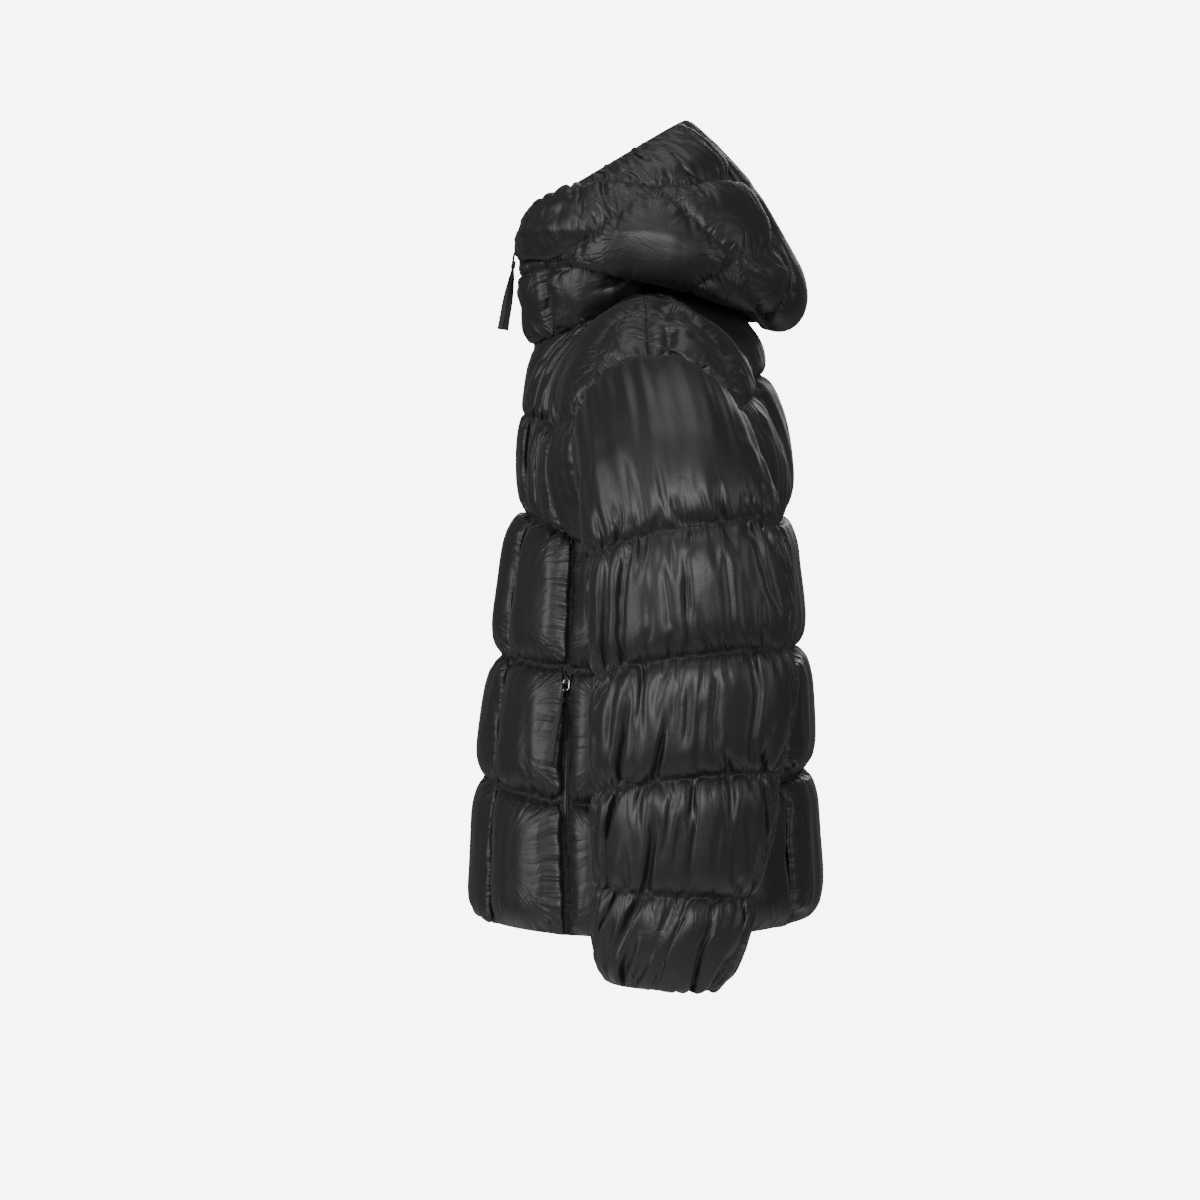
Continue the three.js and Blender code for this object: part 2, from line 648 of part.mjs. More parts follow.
// A place on the collar, round to either side.
function collarAt(round, h, lift) {
  const m = round > 180 ? 360 - round : round;
  const turn = radians(m);
  const p = collarBase(m, h);
  p.addScaledVector(point(Math.sin(turn), -Math.cos(turn), 0), lift);
  if (round > 180) p.x = -p.x;
  return p;
}
const BOTH_NECK_ANGLES = [...NECK_ANGLES, ...[...NECK_ANGLES].reverse().map((a) => 360 - a)];
const COLLAR_ANGLES = BOTH_NECK_ANGLES.filter((angle, i) => angle !== BOTH_NECK_ANGLES[i - 1]);
const COLLAR_LEVELS = [0.006, 0.18, 0.5, 0.82, 1];
const collarOuter = (round, h) => collarAt(round, h, collarPuff(Math.min(round, 360 - round), h));

function collar() {
  return wall(COLLAR_ANGLES, COLLAR_LEVELS, collarOuter, (r, h) => collarAt(r, h, -WALL));
}

// Zips

// The centre front line from the hem to the hood's opening, as places with their outward direction. closed
// is 1 below the slider and falls to 0 at the top, where the zip is open.
function frontLine() {
  const spots = ROW_LINES.map((v) => ({ p: torsoBase("Front", 0, v), closed: 1 }));
  COLLAR_LEVELS.slice(1).forEach((h) => spots.push({ p: collarBase(0, h), closed: 1 }));
  for (let s = 0.5; s < ZIP.top; s += 0.4) {
    const closed = 1 - clamp((s - ZIP.sliderAt) / (ZIP.top - ZIP.sliderAt), 0, 1);
    spots.push({ p: hoodBase(0, s), closed });
  }
  spots.forEach(({ p }) => p.setX(0));
  return spots.map(({ p, closed }, i) => {
    const a = spots[Math.max(0, i - 1)].p;
    const b = spots[Math.min(spots.length - 1, i + 1)].p;
    const up = b.clone().sub(a).normalize();
    return { p, up, out: point(0, -up.z, up.y), across: point(1, 0, 0), closed };
  });
}

// One side of the front zip: its tape and its row of teeth, raised in one ridge.
function zipHalf() {
  const outer = FRONT_EDGE - SEAM_GAP;
  return loft(
    frontLine().map(({ p, out, closed }) => {
      const inner = SEAM_GAP / 2 + ZIP.partedTop * (1 - closed);
      const section = [
        [inner, -ZIP.sink],
        [outer, -ZIP.sink],
        [outer, ZIP.tape - ZIP.sink],
        [inner + ZIP.teethWidth, ZIP.tape - ZIP.sink],
        [inner + ZIP.teethWidth, ZIP.teeth - ZIP.sink],
        [inner, ZIP.teeth - ZIP.sink],
      ];
      return section.map(([x, lift]) => p.clone().addScaledVector(out, lift).add(point(x, 0, 0)));
    }),
  );
}

// A strip that lies on a surface: places give a centre, an outward and a sideways direction.
function strip(spots, halfWidth, lift, height) {
  return loft(
    spots.map(({ p, out, across }) =>
      [[-1, 0], [1, 0], [0.6, 1], [-0.6, 1]].map(([side, top]) =>
        p.clone().addScaledVector(across, side * halfWidth).addScaledVector(out, lift + top * height),
      ),
    ),
  );
}

// A place along the pocket seam of the left front, with its outward, upward and sideways directions.
function pocketSpot(v) {
  const front = (c, row) => torsoBase("Front", c, row);
  const p = front(POCKET_AT, v);
  const up = front(POCKET_AT, v + 0.02).sub(front(POCKET_AT, v - 0.02)).normalize();
  const across = front(POCKET_AT + FLAT, v).sub(front(POCKET_AT - FLAT, v)).normalize();
  const out = across.clone().cross(up).normalize();
  return { p, out, across: up.clone().cross(out).normalize(), up };
}
const POCKET_LINES = ROW_LINES.slice(3, 10);

function pocketZip() {
  return strip(POCKET_LINES.map(pocketSpot), POCKET_ZIP.halfWidth, SEAM_GAP, POCKET_ZIP.height);
}

// The zip that joins the hood and collar to the body: a band on the collar's foot, from one side round to
// the other.
function neckZip() {
  const angles = COLLAR_ANGLES.filter((a) => a > COLLAR_SEAM_AT && a < 360 - COLLAR_SEAM_AT);
  return loft(
    angles.map((angle) => {
      const low = collarOuter(angle, COLLAR_LEVELS[0]);
      const high = collarOuter(angle, COLLAR_LEVELS[1]);
      const turn = radians(angle);
      const out = point(Math.sin(turn), -Math.cos(turn), 0);
      const corner = (share, lift) => low.clone().lerp(high, share).addScaledVector(out, lift);
      const top = NECK_ZIP.lift + NECK_ZIP.height;
      return [
        corner(NECK_ZIP.low, NECK_ZIP.lift),
        corner(NECK_ZIP.high, NECK_ZIP.lift),
        corner(NECK_ZIP.high - 0.1, top),
        corner(NECK_ZIP.low + 0.1, top),
      ];
    }),
  );
}

// Sliders and pulls, made with the zip along y, outwards along z and the zip's surface at z = 0.
const wasm = await Module();
wasm.setup();

function toSolid(geometry) {
  const plain = geometry.clone();
  plain.deleteAttribute("normal");
  plain.deleteAttribute("uv");
  const merged = mergeVertices(plain, 1e-4);
  return new wasm.Manifold(
    new wasm.Mesh({
      numProp: 3,
      vertProperties: merged.attributes.position.array,
      triVerts: new Uint32Array(merged.index.array),
    }),
  );
}

function fromSolid(body) {
  const mesh = body.getMesh();
  const geometry = new THREE.BufferGeometry();
  geometry.setAttribute("position", new THREE.Float32BufferAttribute(mesh.vertProperties, 3));
  geometry.setIndex([...mesh.triVerts]);
  geometry.computeVertexNormals();
  return geometry;
}

// A box from its size and centre.
const block = (x, y, z, at = [0, 0, 0]) => new THREE.BoxGeometry(x, y, z).translate(...at);

function slider() {
  const { width, length, height, bridgeWidth, bridgeHeight, bridgeBar } = SLIDER;
  const plate = new THREE.Shape();
  const half = width / 2;
  plate.moveTo(-half * 0.72, -length / 2).lineTo(half * 0.72, -length / 2).lineTo(half, length * 0.1);
  plate.lineTo(half, length / 2).lineTo(-half, length / 2).lineTo(-half, length * 0.1).closePath();
  const body = new THREE.ExtrudeGeometry(plate, { depth: height, bevelEnabled: false });
  const reach = length * 0.36;
  const legAt = [0, reach, height + bridgeHeight / 2 - 0.2];
  const leg = block(bridgeWidth, bridgeBar * 1.6, bridgeHeight + 0.4, legAt);
  const otherLeg = leg.clone().translate(0, -2 * reach, 0);
  const barAt = [0, 0, height + bridgeHeight - bridgeBar / 2];
  const bar = block(bridgeWidth, 2 * reach + bridgeBar * 1.6, bridgeBar, barAt);
  return fromSolid(toSolid(body).add(toSolid(leg)).add(toSolid(otherLeg)).add(toSolid(bar)));
}

// The height of a pull's pivot over the zip: in the middle of the slider's bridge.
const PIVOT_HEIGHT = SLIDER.height + (SLIDER.bridgeHeight - SLIDER.bridgeBar) / 2;

// A pull that hangs to -y from the pivot at the origin: a ring through the bridge, a cord, a knot and two
// tails.
function pull({ tailWidth, tailLength, tailThickness, tailSpread }) {
  const { width, length, bar } = RING;
  const pieces = [
    block(width, bar, bar, [0, 0, 0]),
    block(width, bar, bar, [0, -length + bar, 0]),
    block(bar, length, bar, [(width - bar) / 2, (bar - length) / 2, 0]),
    block(bar, length, bar, [(bar - width) / 2, (bar - length) / 2, 0]),
  ];
  const ringEnd = -length + bar;
  const cordAt = [0, ringEnd - KNOT.cordLength / 2 + 1, 0];
  pieces.push(block(KNOT.cordWidth, KNOT.cordLength, KNOT.cordWidth, cordAt));
  const knotY = ringEnd - KNOT.cordLength - KNOT.length / 2 + 2;
  const knot = new THREE.CapsuleGeometry(KNOT.width / 2, KNOT.length - KNOT.width, 3, 8);
  knot.scale(1, 1, KNOT.thickness / KNOT.width).translate(0, knotY, 0);
  pieces.push(knot);
  tailSpread.forEach((degrees) => {
    const tail = block(tailWidth, tailLength, tailThickness, [0, -tailLength / 2, 0]);
    tail.rotateX(radians(degrees)).translate(0, knotY - KNOT.length / 4, 0);
    pieces.push(tail);
  });
  return fromSolid(pieces.map(toSolid).reduce((sum, piece) => sum.add(piece)));
}

// Places a slider on a zip: up, out and across are the zip's directions at p.
function placed(geometry, { p, up, out, across }, lift) {
  const basis = new THREE.Matrix4().makeBasis(across, up, out);
  basis.setPosition(p.clone().addScaledVector(out, lift));
  return geometry.clone().applyMatrix4(basis);
}

// Hangs a pull from its slider's bridge: plumb across the pivot, and leaning away from the body by some
// degrees.
function hung(geometry, { p, out, across }, lift, lean) {
  const plumb = point(0, 0, -1).addScaledVector(across, across.z).normalize();
  const away = across.clone().cross(plumb.clone().negate()).normalize();
  const down = plumb.multiplyScalar(Math.cos(radians(lean))).addScaledVector(away, Math.sin(radians(lean)));
  const up = down.negate();
  const pivot = p.clone().addScaledVector(out, lift);
  return placed(geometry, { p: pivot, up, out: across.clone().cross(up), across }, 0);
}

const frontSpots = frontLine();
const frontSliderSpot = frontSpots.reduce((best, spot) => (spot.closed === 1 ? spot : best));
const FRONT_SLIDER_LIFT = ZIP.teeth - ZIP.sink + SEAM_GAP;
const pocketSliderSpot = pocketSpot(POCKET_LINES[6]);
const POCKET_SLIDER_LIFT = SEAM_GAP + POCKET_ZIP.height + SEAM_GAP;

// Materials
const cloth = () => new THREE.MeshStandardMaterial({ color: 0x191919, roughness: 0.42, metalness: 0 });
const tape = () => new THREE.MeshStandardMaterial({ color: 0x0d0d0d, roughness: 0.75, metalness: 0 });
const metal = () => new THREE.MeshStandardMaterial({ color: 0xb9babc, roughness: 0.3, metalness: 1 });

const parka = new THREE.Group();
const named = (name, geometry, material) => {
  const mesh = new THREE.Mesh(geometry, material);
  mesh.name = name;
  parka.add(mesh);
};

// Adds the left piece and its mirrored right copy.
function pair(name, geometry, material) {
  named(name + "_left", geometry, material());
  named(name + "_right", mirrored(geometry), material());
}

pair("front", frontPanel(), cloth);
named("back", backPanel(), cloth());
pair("sleeve_upper", sleeveUpper(), cloth);
pair("sleeve_under", sleeveUnder(), cloth);
pair("hood_side", hoodSide(), cloth);
named("hood_centre", hoodCentre(), cloth());
named("collar", collar(), cloth());
pair("front_zip", zipHalf(), tape);
pair("pocket_zip", pocketZip(), tape);
named("neck_zip", neckZip(), tape());

named("front_slider", placed(slider(), frontSliderSpot, FRONT_SLIDER_LIFT), metal());
named(
  "front_pull",
  hung(pull(FRONT_PULL), frontSliderSpot, FRONT_SLIDER_LIFT + PIVOT_HEIGHT, FRONT_PULL.lean),
  tape(),
);
pair("pocket_slider", placed(slider(), pocketSliderSpot, POCKET_SLIDER_LIFT), metal);
pair(
  "pocket_pull",
  hung(pull(POCKET_PULL), pocketSliderSpot, POCKET_SLIDER_LIFT + PIVOT_HEIGHT, POCKET_PULL.lean),
  tape,
);

export default parka;
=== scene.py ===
# %% [markdown]
# # A hooded down parka
# The solids of this coat are already made: smooth padded walls with the right silhouette. What they lack is what
# makes down clothing look like down clothing: thin, shiny cloth that is sewn down along lines and pushed out by its
# filling, so that it gathers, wrinkles and catches the light. This file makes each cut piece of cloth again as a
# fine sheet, sews it down along the coat's seams, lets Blender's cloth solver blow it up, and then adds the stitches,
# the zips and the pulls.

# %% Load the fixed frame
import json
import math

import bmesh
import bpy
import numpy as np
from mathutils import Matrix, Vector
from mathutils.kdtree import KDTree


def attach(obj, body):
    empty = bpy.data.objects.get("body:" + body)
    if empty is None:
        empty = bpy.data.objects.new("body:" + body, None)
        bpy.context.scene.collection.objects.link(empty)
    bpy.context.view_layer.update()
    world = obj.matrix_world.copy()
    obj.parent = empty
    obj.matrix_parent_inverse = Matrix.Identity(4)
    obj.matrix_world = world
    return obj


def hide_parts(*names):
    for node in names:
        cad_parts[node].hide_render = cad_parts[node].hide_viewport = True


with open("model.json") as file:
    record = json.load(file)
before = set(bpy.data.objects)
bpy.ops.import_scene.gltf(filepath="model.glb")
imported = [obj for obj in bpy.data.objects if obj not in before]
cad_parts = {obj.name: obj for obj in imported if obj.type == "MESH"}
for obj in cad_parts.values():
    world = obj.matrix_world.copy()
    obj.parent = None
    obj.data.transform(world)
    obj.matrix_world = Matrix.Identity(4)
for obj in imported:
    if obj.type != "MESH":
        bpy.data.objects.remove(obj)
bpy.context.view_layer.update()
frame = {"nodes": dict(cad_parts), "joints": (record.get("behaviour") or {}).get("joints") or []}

# %% [markdown]
# ## The camera first
# The photograph looks at the wearer's left side, level with the middle of the coat and from about four and a half
# metres away. The camera is set before anything is made, so that every later step can be judged in the same frame.
# It is an ordinary long lens: the frame is 1.284 m wide at the middle of the coat.

# %% Camera at the photograph's angle
CAMERA_AWAY = 4.5
FRAME_WIDTH = 1.284
camera = bpy.data.objects.new("camera", bpy.data.cameras.new("camera"))
camera.data.lens = 36 * CAMERA_AWAY / FRAME_WIDTH
camera.location = (CAMERA_AWAY, -0.0482, -0.3317)
camera.rotation_euler = (math.radians(90), 0, math.radians(90))
bpy.context.scene.collection.objects.link(camera)
bpy.context.scene.camera = camera
print("lens", round(camera.data.lens, 1), "mm")

# %% [markdown]
# ## The pattern's numbers
# A tailor works from a few measures and joins them with smooth curves. The same is done here. All of these tables are
# in millimetres with Z up, the front facing -Y and the wearer's left at +X. They are the measures that the solids
# were made from, so that the cloth lies where the solids are. `smooth` draws a curve through any column of a table.

# %% Smooth curves through short tables
def smooth(places, values, at):
    """A smooth curve through values at places, read off at any place. A value may be a whole array."""
    at = np.asarray(at, float)
    shape = np.broadcast_shapes(at.shape, *[np.shape(value) for value in values])
    at = np.broadcast_to(at, shape)
    places = np.asarray(places, float)
    values = np.stack([np.broadcast_to(value, shape) for value in values]).astype(float)
    last = len(places) - 1
    below, above = np.maximum(np.arange(last + 1) - 1, 0), np.minimum(np.arange(last + 1) + 1, last)
    span = (places[above] - places[below]).reshape((-1,) + (1,) * len(shape))
    slopes = (values[above] - values[below]) / span
    i = np.clip(np.searchsorted(places, at, side="right") - 1, 0, last - 1)
    step = places[i + 1] - places[i]
    t = np.clip((at - places[i]) / step, 0, 1)
    pick = lambda table, k: np.take_along_axis(table, k[None], 0)[0]
    start, end = pick(values, i), pick(values, i + 1)
    leave, arrive = pick(slopes, i) * step, pick(slopes, i + 1) * step
    return (start * (2 * t**3 - 3 * t**2 + 1) + leave * (t**3 - 2 * t**2 + t)
            + end * (3 * t**2 - 2 * t**3) + arrive * (t**3 - t**2))


def ease(t):
    t = np.clip(t, 0, 1)
    return t * t * (3 - 2 * t)


def mix(a, b, t):
    return a + (b - a) * t


def xyz(x, y, z):
    return np.stack(np.broadcast_arrays(x, y, z), -1).astype(float)


def unit(vectors):
    return vectors / np.maximum(np.linalg.norm(vectors, axis=-1, keepdims=True), 1e-9)


print("half way from 0 to 10:", smooth([0, 1], [0, 10], 0.5))

# %% Measures of the body
TORSO_AT = [0, 1, 2, 3]  # hem, two seams, chest seam
TORSO = {
    "front": [-179, -171, -153, -127], "back": [179, 168, 160, 144], "middle": [2, 5, 14, 24],
    "half": [246, 236, 228, 222], "front_z": [-664, -519, -390, -239], "side_z": [-674, -544, -405, -285],
    "back_z": [-662, -510, -380, -241], "pocket": [0.74, 0.7, 0.66, 0.58],
}
YOKE = {"front": ([0, 0.27, 0.45, 0.64, 1], [0.61, 0.52, 0.45, 0.46, 0.61]),
        "back": ([0, 0.33, 0.6, 1], [0.61, 0.57, 0.55, 0.61])}
FRONT_EDGE, PRINCESS, POCKET, POCKET_FLAT = 7, 0.27, 0.64, 4
NECK_Y, NECK_RADIUS, NECK_FRONT_Z, NECK_BACK_Z = -21, 97, -59, 5
SHOULDER_ANGLE = 100
NECK_SHARE = {"front": 0.44833, "back": 0.327}
CAP_SEAM = {"front": (0.22, 0.25), "back": (0.27, 0.36)}
FULL = {"front": 2, "back": 15}
OUTWARD = {"front": -1, "back": 1}
ROW_HEIGHTS = np.array([145, 128, 142, 112, 118])
WALL = 3

# %% The body's shape
def neckline(angle):
    """The seam round the neck, by degrees from the centre front."""
    turn = np.radians(angle)
    rise = np.sin(np.pi / 2 * (1 - np.cos(turn)) / 2) ** 1.5
    return xyz(ring_x(NECK_RADIUS, turn), NECK_Y - NECK_RADIUS * np.cos(turn), mix(NECK_FRONT_Z, NECK_BACK_Z, rise))


def ring_x(out, turn):
    return out * np.sin(turn) + FRONT_EDGE * np.maximum(0, np.cos(turn))


SLEEVE_AT = [0, 0.5, 1, 2, 3, 4, 4.5, 5]  # armhole, four seams, cuff
SLEEVE = {
    "x": [243.5, 294, 323, 337, 342, 342, 341, 340], "y": [12, 22, 35, 46, 38, 28, 21, 16],
    "z": [-185.5, -225, -279, -394, -512, -617, -665, -711], "wide": [21.5, 59, 72, 68, 64, 58, 54, 46],
    "deep": [80, 81, 91, 95, 86, 75, 69, 55], "rise": [99.5, 68, 17, 8, 6, -4, -4, -3],
    "lean": [0, -8, -16, -12, -9, 4, 3, 2], "sway": [-12, -5, 0, 0, 0, 0, 0, 0],
    "square": [0.8, 0.85, 0.95, 1, 1, 1, 1, 1],
}


def sleeve_ring(at, degrees):
    """A place round the sleeve: 0 degrees is outside and 90 is the front."""
    r = {name: smooth(SLEEVE_AT, column, at) for name, column in SLEEVE.items()}
    turn = np.radians(degrees)
    power = np.where(np.sin(turn) < 0, r["square"], 1)
    out = np.sign(np.cos(turn)) * np.abs(np.cos(turn)) ** power
    front = np.sign(np.sin(turn)) * np.abs(np.sin(turn)) ** power
    return xyz(r["x"] + r["wide"] * out, r["y"] + r["sway"] * out - r["deep"] * front,
               r["z"] + r["rise"] * out + r["lean"] * front)


def shoulder_seam(share):
    a, b = neckline(SHOULDER_ANGLE), sleeve_ring(0, 0)
    return xyz(mix(a[0], b[0], share), mix(a[1], b[1], share), a[2] + (b[2] - a[2]) * np.maximum(share, 0) ** 2.6)


def torso_tube(side, c, v):
    """Below the armholes. c runs from the centre (0) to the side (1), v from the hem (0) to the chest seam (3)."""
    t = {name: smooth(TORSO_AT, column, v) for name, column in TORSO.items()}
    shift = t["pocket"] - POCKET if side == "front" else 0
    turn = (c + shift * np.minimum(c / POCKET, (1 - c) / (1 - POCKET))) * np.pi / 2
    out, deep = np.sin(turn) ** 0.88, np.maximum(0, np.cos(turn)) ** 0.88
    edge = FRONT_EDGE if side == "front" else 0
    return xyz(mix(edge, t["half"], out), t["middle"] + (t[side] - t["middle"]) * deep,
               t["side_z"] + (t[side + "_z"] - t["side_z"]) * np.cos(turn) ** 2)


def panel_top(side, c):
    share = NECK_SHARE[side]
    start = 0 if side == "front" else 180
    on_neck = neckline(mix(start, SHOULDER_ANGLE, np.minimum(c / share, 1)))
    return np.where((c > share)[..., None], shoulder_seam((c - share) / (1 - share)), on_neck)


def torso_yoke(side, c, t):
    """Above the chest seam: a patch stretched between its four edges."""
    zero, one, C, T = np.zeros_like(c), np.ones_like(c), c[..., None], t[..., None]
    low, high = torso_tube(side, c, zero + 3), panel_top(side, c)
    centre_low, centre_high = torso_tube(side, zero, zero + 3), panel_top(side, zero)
    centre = mix(centre_low, centre_high, T)
    centre[..., 1] += OUTWARD[side] * FULL[side] * 4 * t * (1 - t)
    armhole = sleeve_ring(0, -OUTWARD[side] * 180 * (1 - t))
    p = low * (1 - T) + high * T + centre * (1 - C) + armhole * C
    p -= centre_low * (1 - C) * (1 - T) + centre_high * (1 - C) * T
    p -= torso_tube(side, one, zero + 3) * C * (1 - T) + panel_top(side, one) * C * T
    p[..., 1] += OUTWARD[side] * FULL[side] * 12.8 * c * (1 - c) * t * (1 - t)
    return p


def yoke_share(side, c, v):
    seam = smooth(*YOKE[side], c)
    return np.where(v < 4, (v - 3) * seam, mix(seam, 1, v - 4))


def torso_base(side, c, v):
    c, v = np.broadcast_arrays(np.asarray(c, float), np.asarray(v, float))
    tube = torso_tube(side, c, np.minimum(v, 3))
    yoke = torso_yoke(side, c, np.clip(yoke_share(side, c, v), 0, 1))
    return np.where((v <= 3)[..., None], tube, yoke)


def torso_out(p):
    return unit(p - xyz(np.clip(p[..., 0], -120, 120), 10, np.minimum(p[..., 2], -150)))


print("centre front at the hem:", torso_base("front", 0, 0), "and at the neck:", torso_base("front", 0, 5))

# %% How high the filling lifts the cloth
def fullness(distance, width=38):
    """0 on a seam, and 1 well inside a chamber."""
    return (1 - (1 - np.clip(distance / width, 0, 1)) ** 2) ** 0.72


PUFF_MIDDLE = {"front": np.array([11, 13, 18, 6, 4]), "back": np.array([14, 14, 14, 12, 12])}
PUFF_SIDE = {"front": np.array([18, 18, 18, 15, 10]), "back": np.array([18, 18, 18, 15, 13])}
COLUMNS = {"front": [0, PRINCESS, POCKET, 1], "back": [0.43578, 1]}


def cap_ring(side, c, t):
    """1 on the curved seam round the shoulder point."""
    along, down = CAP_SEAM[side]
    return np.hypot((1 - c) / along, (1 - t) / down)


def torso_puff(side, c, v):
    row = np.minimum(4, np.floor(v)).astype(int)
    from_row = np.minimum(v - row, row + 1 - v) * ROW_HEIGHTS[row]
    from_column = np.full(c.shape, 1e3)
    for seam in COLUMNS[side]:
        flat = POCKET_FLAT if side == "front" and seam == POCKET else 0
        near = np.maximum(0, np.abs(c - seam) * 300 - flat)
        quilted_in_yoke = seam == 1 or (side == "front" and seam == 0)
        from_column = np.where((row == 4) & (not quilted_in_yoke), from_column, np.minimum(from_column, near))
    high = mix(PUFF_MIDDLE[side][row], PUFF_SIDE[side][row], ease(c / POCKET))
    high = mix(high, 6, ease((c - 0.72) / 0.28) * np.where(v < 3.4, 1, 0.4))
    t = yoke_share(side, c, v)
    near_hood = torso_base(side, c, v)
    hooded = ease((near_hood[..., 2] + 75) / 45) * ease((185 - np.abs(near_hood[..., 0])) / 45)
    top = row == 4
    fill = fullness(from_row) * fullness(from_column)
    fill = np.where(top, fill * fullness(np.abs(cap_ring(side, c, t) - 1) * 45, 30), fill)
    return np.where(top, mix(high, 5, hooded), high) * fill


print("filling in the middle of a front chamber:",
      np.round(torso_puff("front", np.array([0.45]), np.array([1.5])), 1), "mm")

# %% The sleeve, the hood and the collar
SLEEVE_ROWS = np.array([150, 115, 117, 108, 94])


def sleeve_centre(at):
    return xyz(*[smooth(SLEEVE_AT, SLEEVE[name], at) for name in "xyz"])


def sleeve_puff(at, degrees, share):
    row = np.minimum(4, np.floor(at)).astype(int)
    from_row = np.minimum(at - row, row + 1 - at) * SLEEVE_ROWS[row]
    from_seam = np.minimum(share, 1 - share) * 250
    high = mix(7, 18, np.maximum(0, np.cos(np.radians(degrees)))) * np.where(at < 0.6, 0.75, 1)
    return high * fullness(from_row) * fullness(from_seam, 30)


def back_seam(at):
    return -90 + 34 * ease(at - 4)


HOOD_AT = [0, 45, 90, 135, 180]  # degrees round the neck from the centre front
HOOD = [([114, 112, 124, 116, 105], [27] * 5), ([114, 118, 141, 153, 153], [37, 30, 6, -18, -41]),
        ([112, 122, 153, 174, 181], [48, 52, 46, 22, 0]), ([110, 114, 127, 132, 124], [60, 76, 96, 106, 98])]
HOOD_STRIP = 158
HOOD_LINES = [
    [(-68, 104), (-32, 103), (10, 96), (54, 102), (92, 112)], [(10, 96), (-25, 70), (-62, 42), (-92, 26)],
    [(10, 96), (44, 64), (70, 42), (94, 23), (106, -6), (118, -28)], [(94, 23), (120, 30), (146, 45)],
    [(94, 23), (68, 4), (46, -8)],
]


def hood_base(angle, s):
    """angle is in degrees round the neck, s runs from the collar (0) to the face opening (4)."""
    turn = np.radians(angle)
    xs, ys, zs = [], [], []
    for outs, ups in HOOD:
        out = smooth(HOOD_AT, outs, angle)
        xs.append(ring_x(out, turn))
        ys.append(-20 - out * np.cos(turn))
        zs.append(smooth(HOOD_AT, ups, angle))
    xs.append(ring_x(92, turn))
    ys.append(-42 - 87 * np.cos(turn))
    zs.append(124 - 52 * np.cos(turn) + 5 * np.cos(turn) ** 2)
    return xyz(*[smooth([0, 1, 2, 3, 4], values, s) for values in (xs, ys, zs)])


def hood_out(angle, s):
    r, k = np.clip(angle, 1, 179), np.clip(s, 0.02, 3.98)
    across = hood_base(r + 0.5, k) - hood_base(r - 0.5, k)
    normal = unit(np.cross(across, hood_base(r, k + 0.02) - hood_base(r, k - 0.02)))
    normal[..., 0] *= 1 - np.minimum(1, ease((angle - 170) / 10) + ease((10 - angle) / 10))
    return unit(normal)


def to_hood_line(p):
    """The step from each point, seen from the side, to the nearest of the hood's quilting lines."""
    best, step = np.full(p.shape[:-1], 1e3), np.zeros(p.shape[:-1] + (2,))
    for line in HOOD_LINES:
        for a, b in zip(line, line[1:]):
            a, b = np.array(a, float), np.array(b, float)
            t = np.clip(((p[..., 1:] - a) @ (b - a)) / ((b - a) @ (b - a)), 0, 1)
            there = a + (b - a) * t[..., None] - p[..., 1:]
            far = np.linalg.norm(there, axis=-1)
            step = np.where((far < best)[..., None], there, step)
            best = np.minimum(best, far)
    return best, step


def hood_puff(angle, s, p):
    from_strip, from_edge = np.abs(angle - HOOD_STRIP) * 2.4, (4 - s) * 55
    side = np.where(angle < HOOD_STRIP, fullness(to_hood_line(p)[0], 34), 1)
    front = mix(0.2, 1, ease((angle - 5) / 45))
    return 13 * ease((s - 0.75) / 0.6) * front * side * fullness(from_strip, 26) * fullness(from_edge, 26)


COLLAR_SEAM = 39.416


def collar_base(angle, h):
    turn, out = np.radians(angle), smooth(HOOD_AT, HOOD[0][0], angle)
    high = xyz(ring_x(out, turn), -20 - out * np.cos(turn), 26.4)
    return mix(neckline(angle), high, np.asarray(h, float)[..., None])


def collar_puff(angle, h):
    tall = 26.4 - neckline(angle)[..., 2]
    from_column = np.minimum(np.abs(angle - COLLAR_SEAM), angle) * 1.9
    high = mix(9, 3, ease((angle - 70) / 40))
    return high * fullness(np.minimum(h, 1 - h) * tall, 30) * fullness(from_column, 24)


print("cuff's centre:", sleeve_centre(5), "back of the hood's rim:", np.round(hood_base(180, 4), 1))

# %% [markdown]
# ## A cut piece of cloth
# The real cloth is a thin nylon that is sewn down along every seam and quilting line, and it is cut a little longer
# than the line it is sewn to, so it has to gather. That extra length is the source of every pucker on such a coat.
# It could be drawn as bumps, but wrinkles that a solver finds join, fork and fade as real ones do. So each piece is
# a grid of points with two shapes. The first is where it lies on the coat. The second, the shape key `pattern`, is
# the flat cut, a few per cent longer than the place it has to fit, and the cloth solver takes its lengths from it.

# %% Lines of a piece's grid
def lines(seams, steps):
    """Places from seam to seam, a little closer together beside a seam."""
    runs = []
    for a, b, count in zip(seams, seams[1:], steps):
        t = np.arange(count) / count
        runs.append(mix(a, b, mix(t, (1 - np.cos(np.pi * t)) / 2, 0.45)))
    return np.append(np.concatenate(runs), seams[-1])


def run_lengths(p, axis):
    """How far along the cloth each point lies, in the same unit as p."""
    steps = np.linalg.norm(np.diff(p, axis=axis), axis=-1)
    start = np.zeros_like(np.take(steps, [0], axis))
    return np.concatenate([start, np.cumsum(steps, axis)], axis)


def to_nearest(p, mask):
    """Distance from every point to the nearest sewn point, and that point's number in the grid."""
    numbers = np.flatnonzero(mask)
    tree = KDTree(len(numbers))
    for number in numbers:
        tree.insert(p.reshape(-1, 3)[number], int(number))
    tree.balance()
    found = [tree.find(q) for q in p.reshape(-1, 3)]
    return (np.array([one[2] for one in found]).reshape(mask.shape),
            np.array([one[1] for one in found]).reshape(mask.shape))


print("a chamber of 10 steps:", np.round(lines([0, 1], [10]), 3))

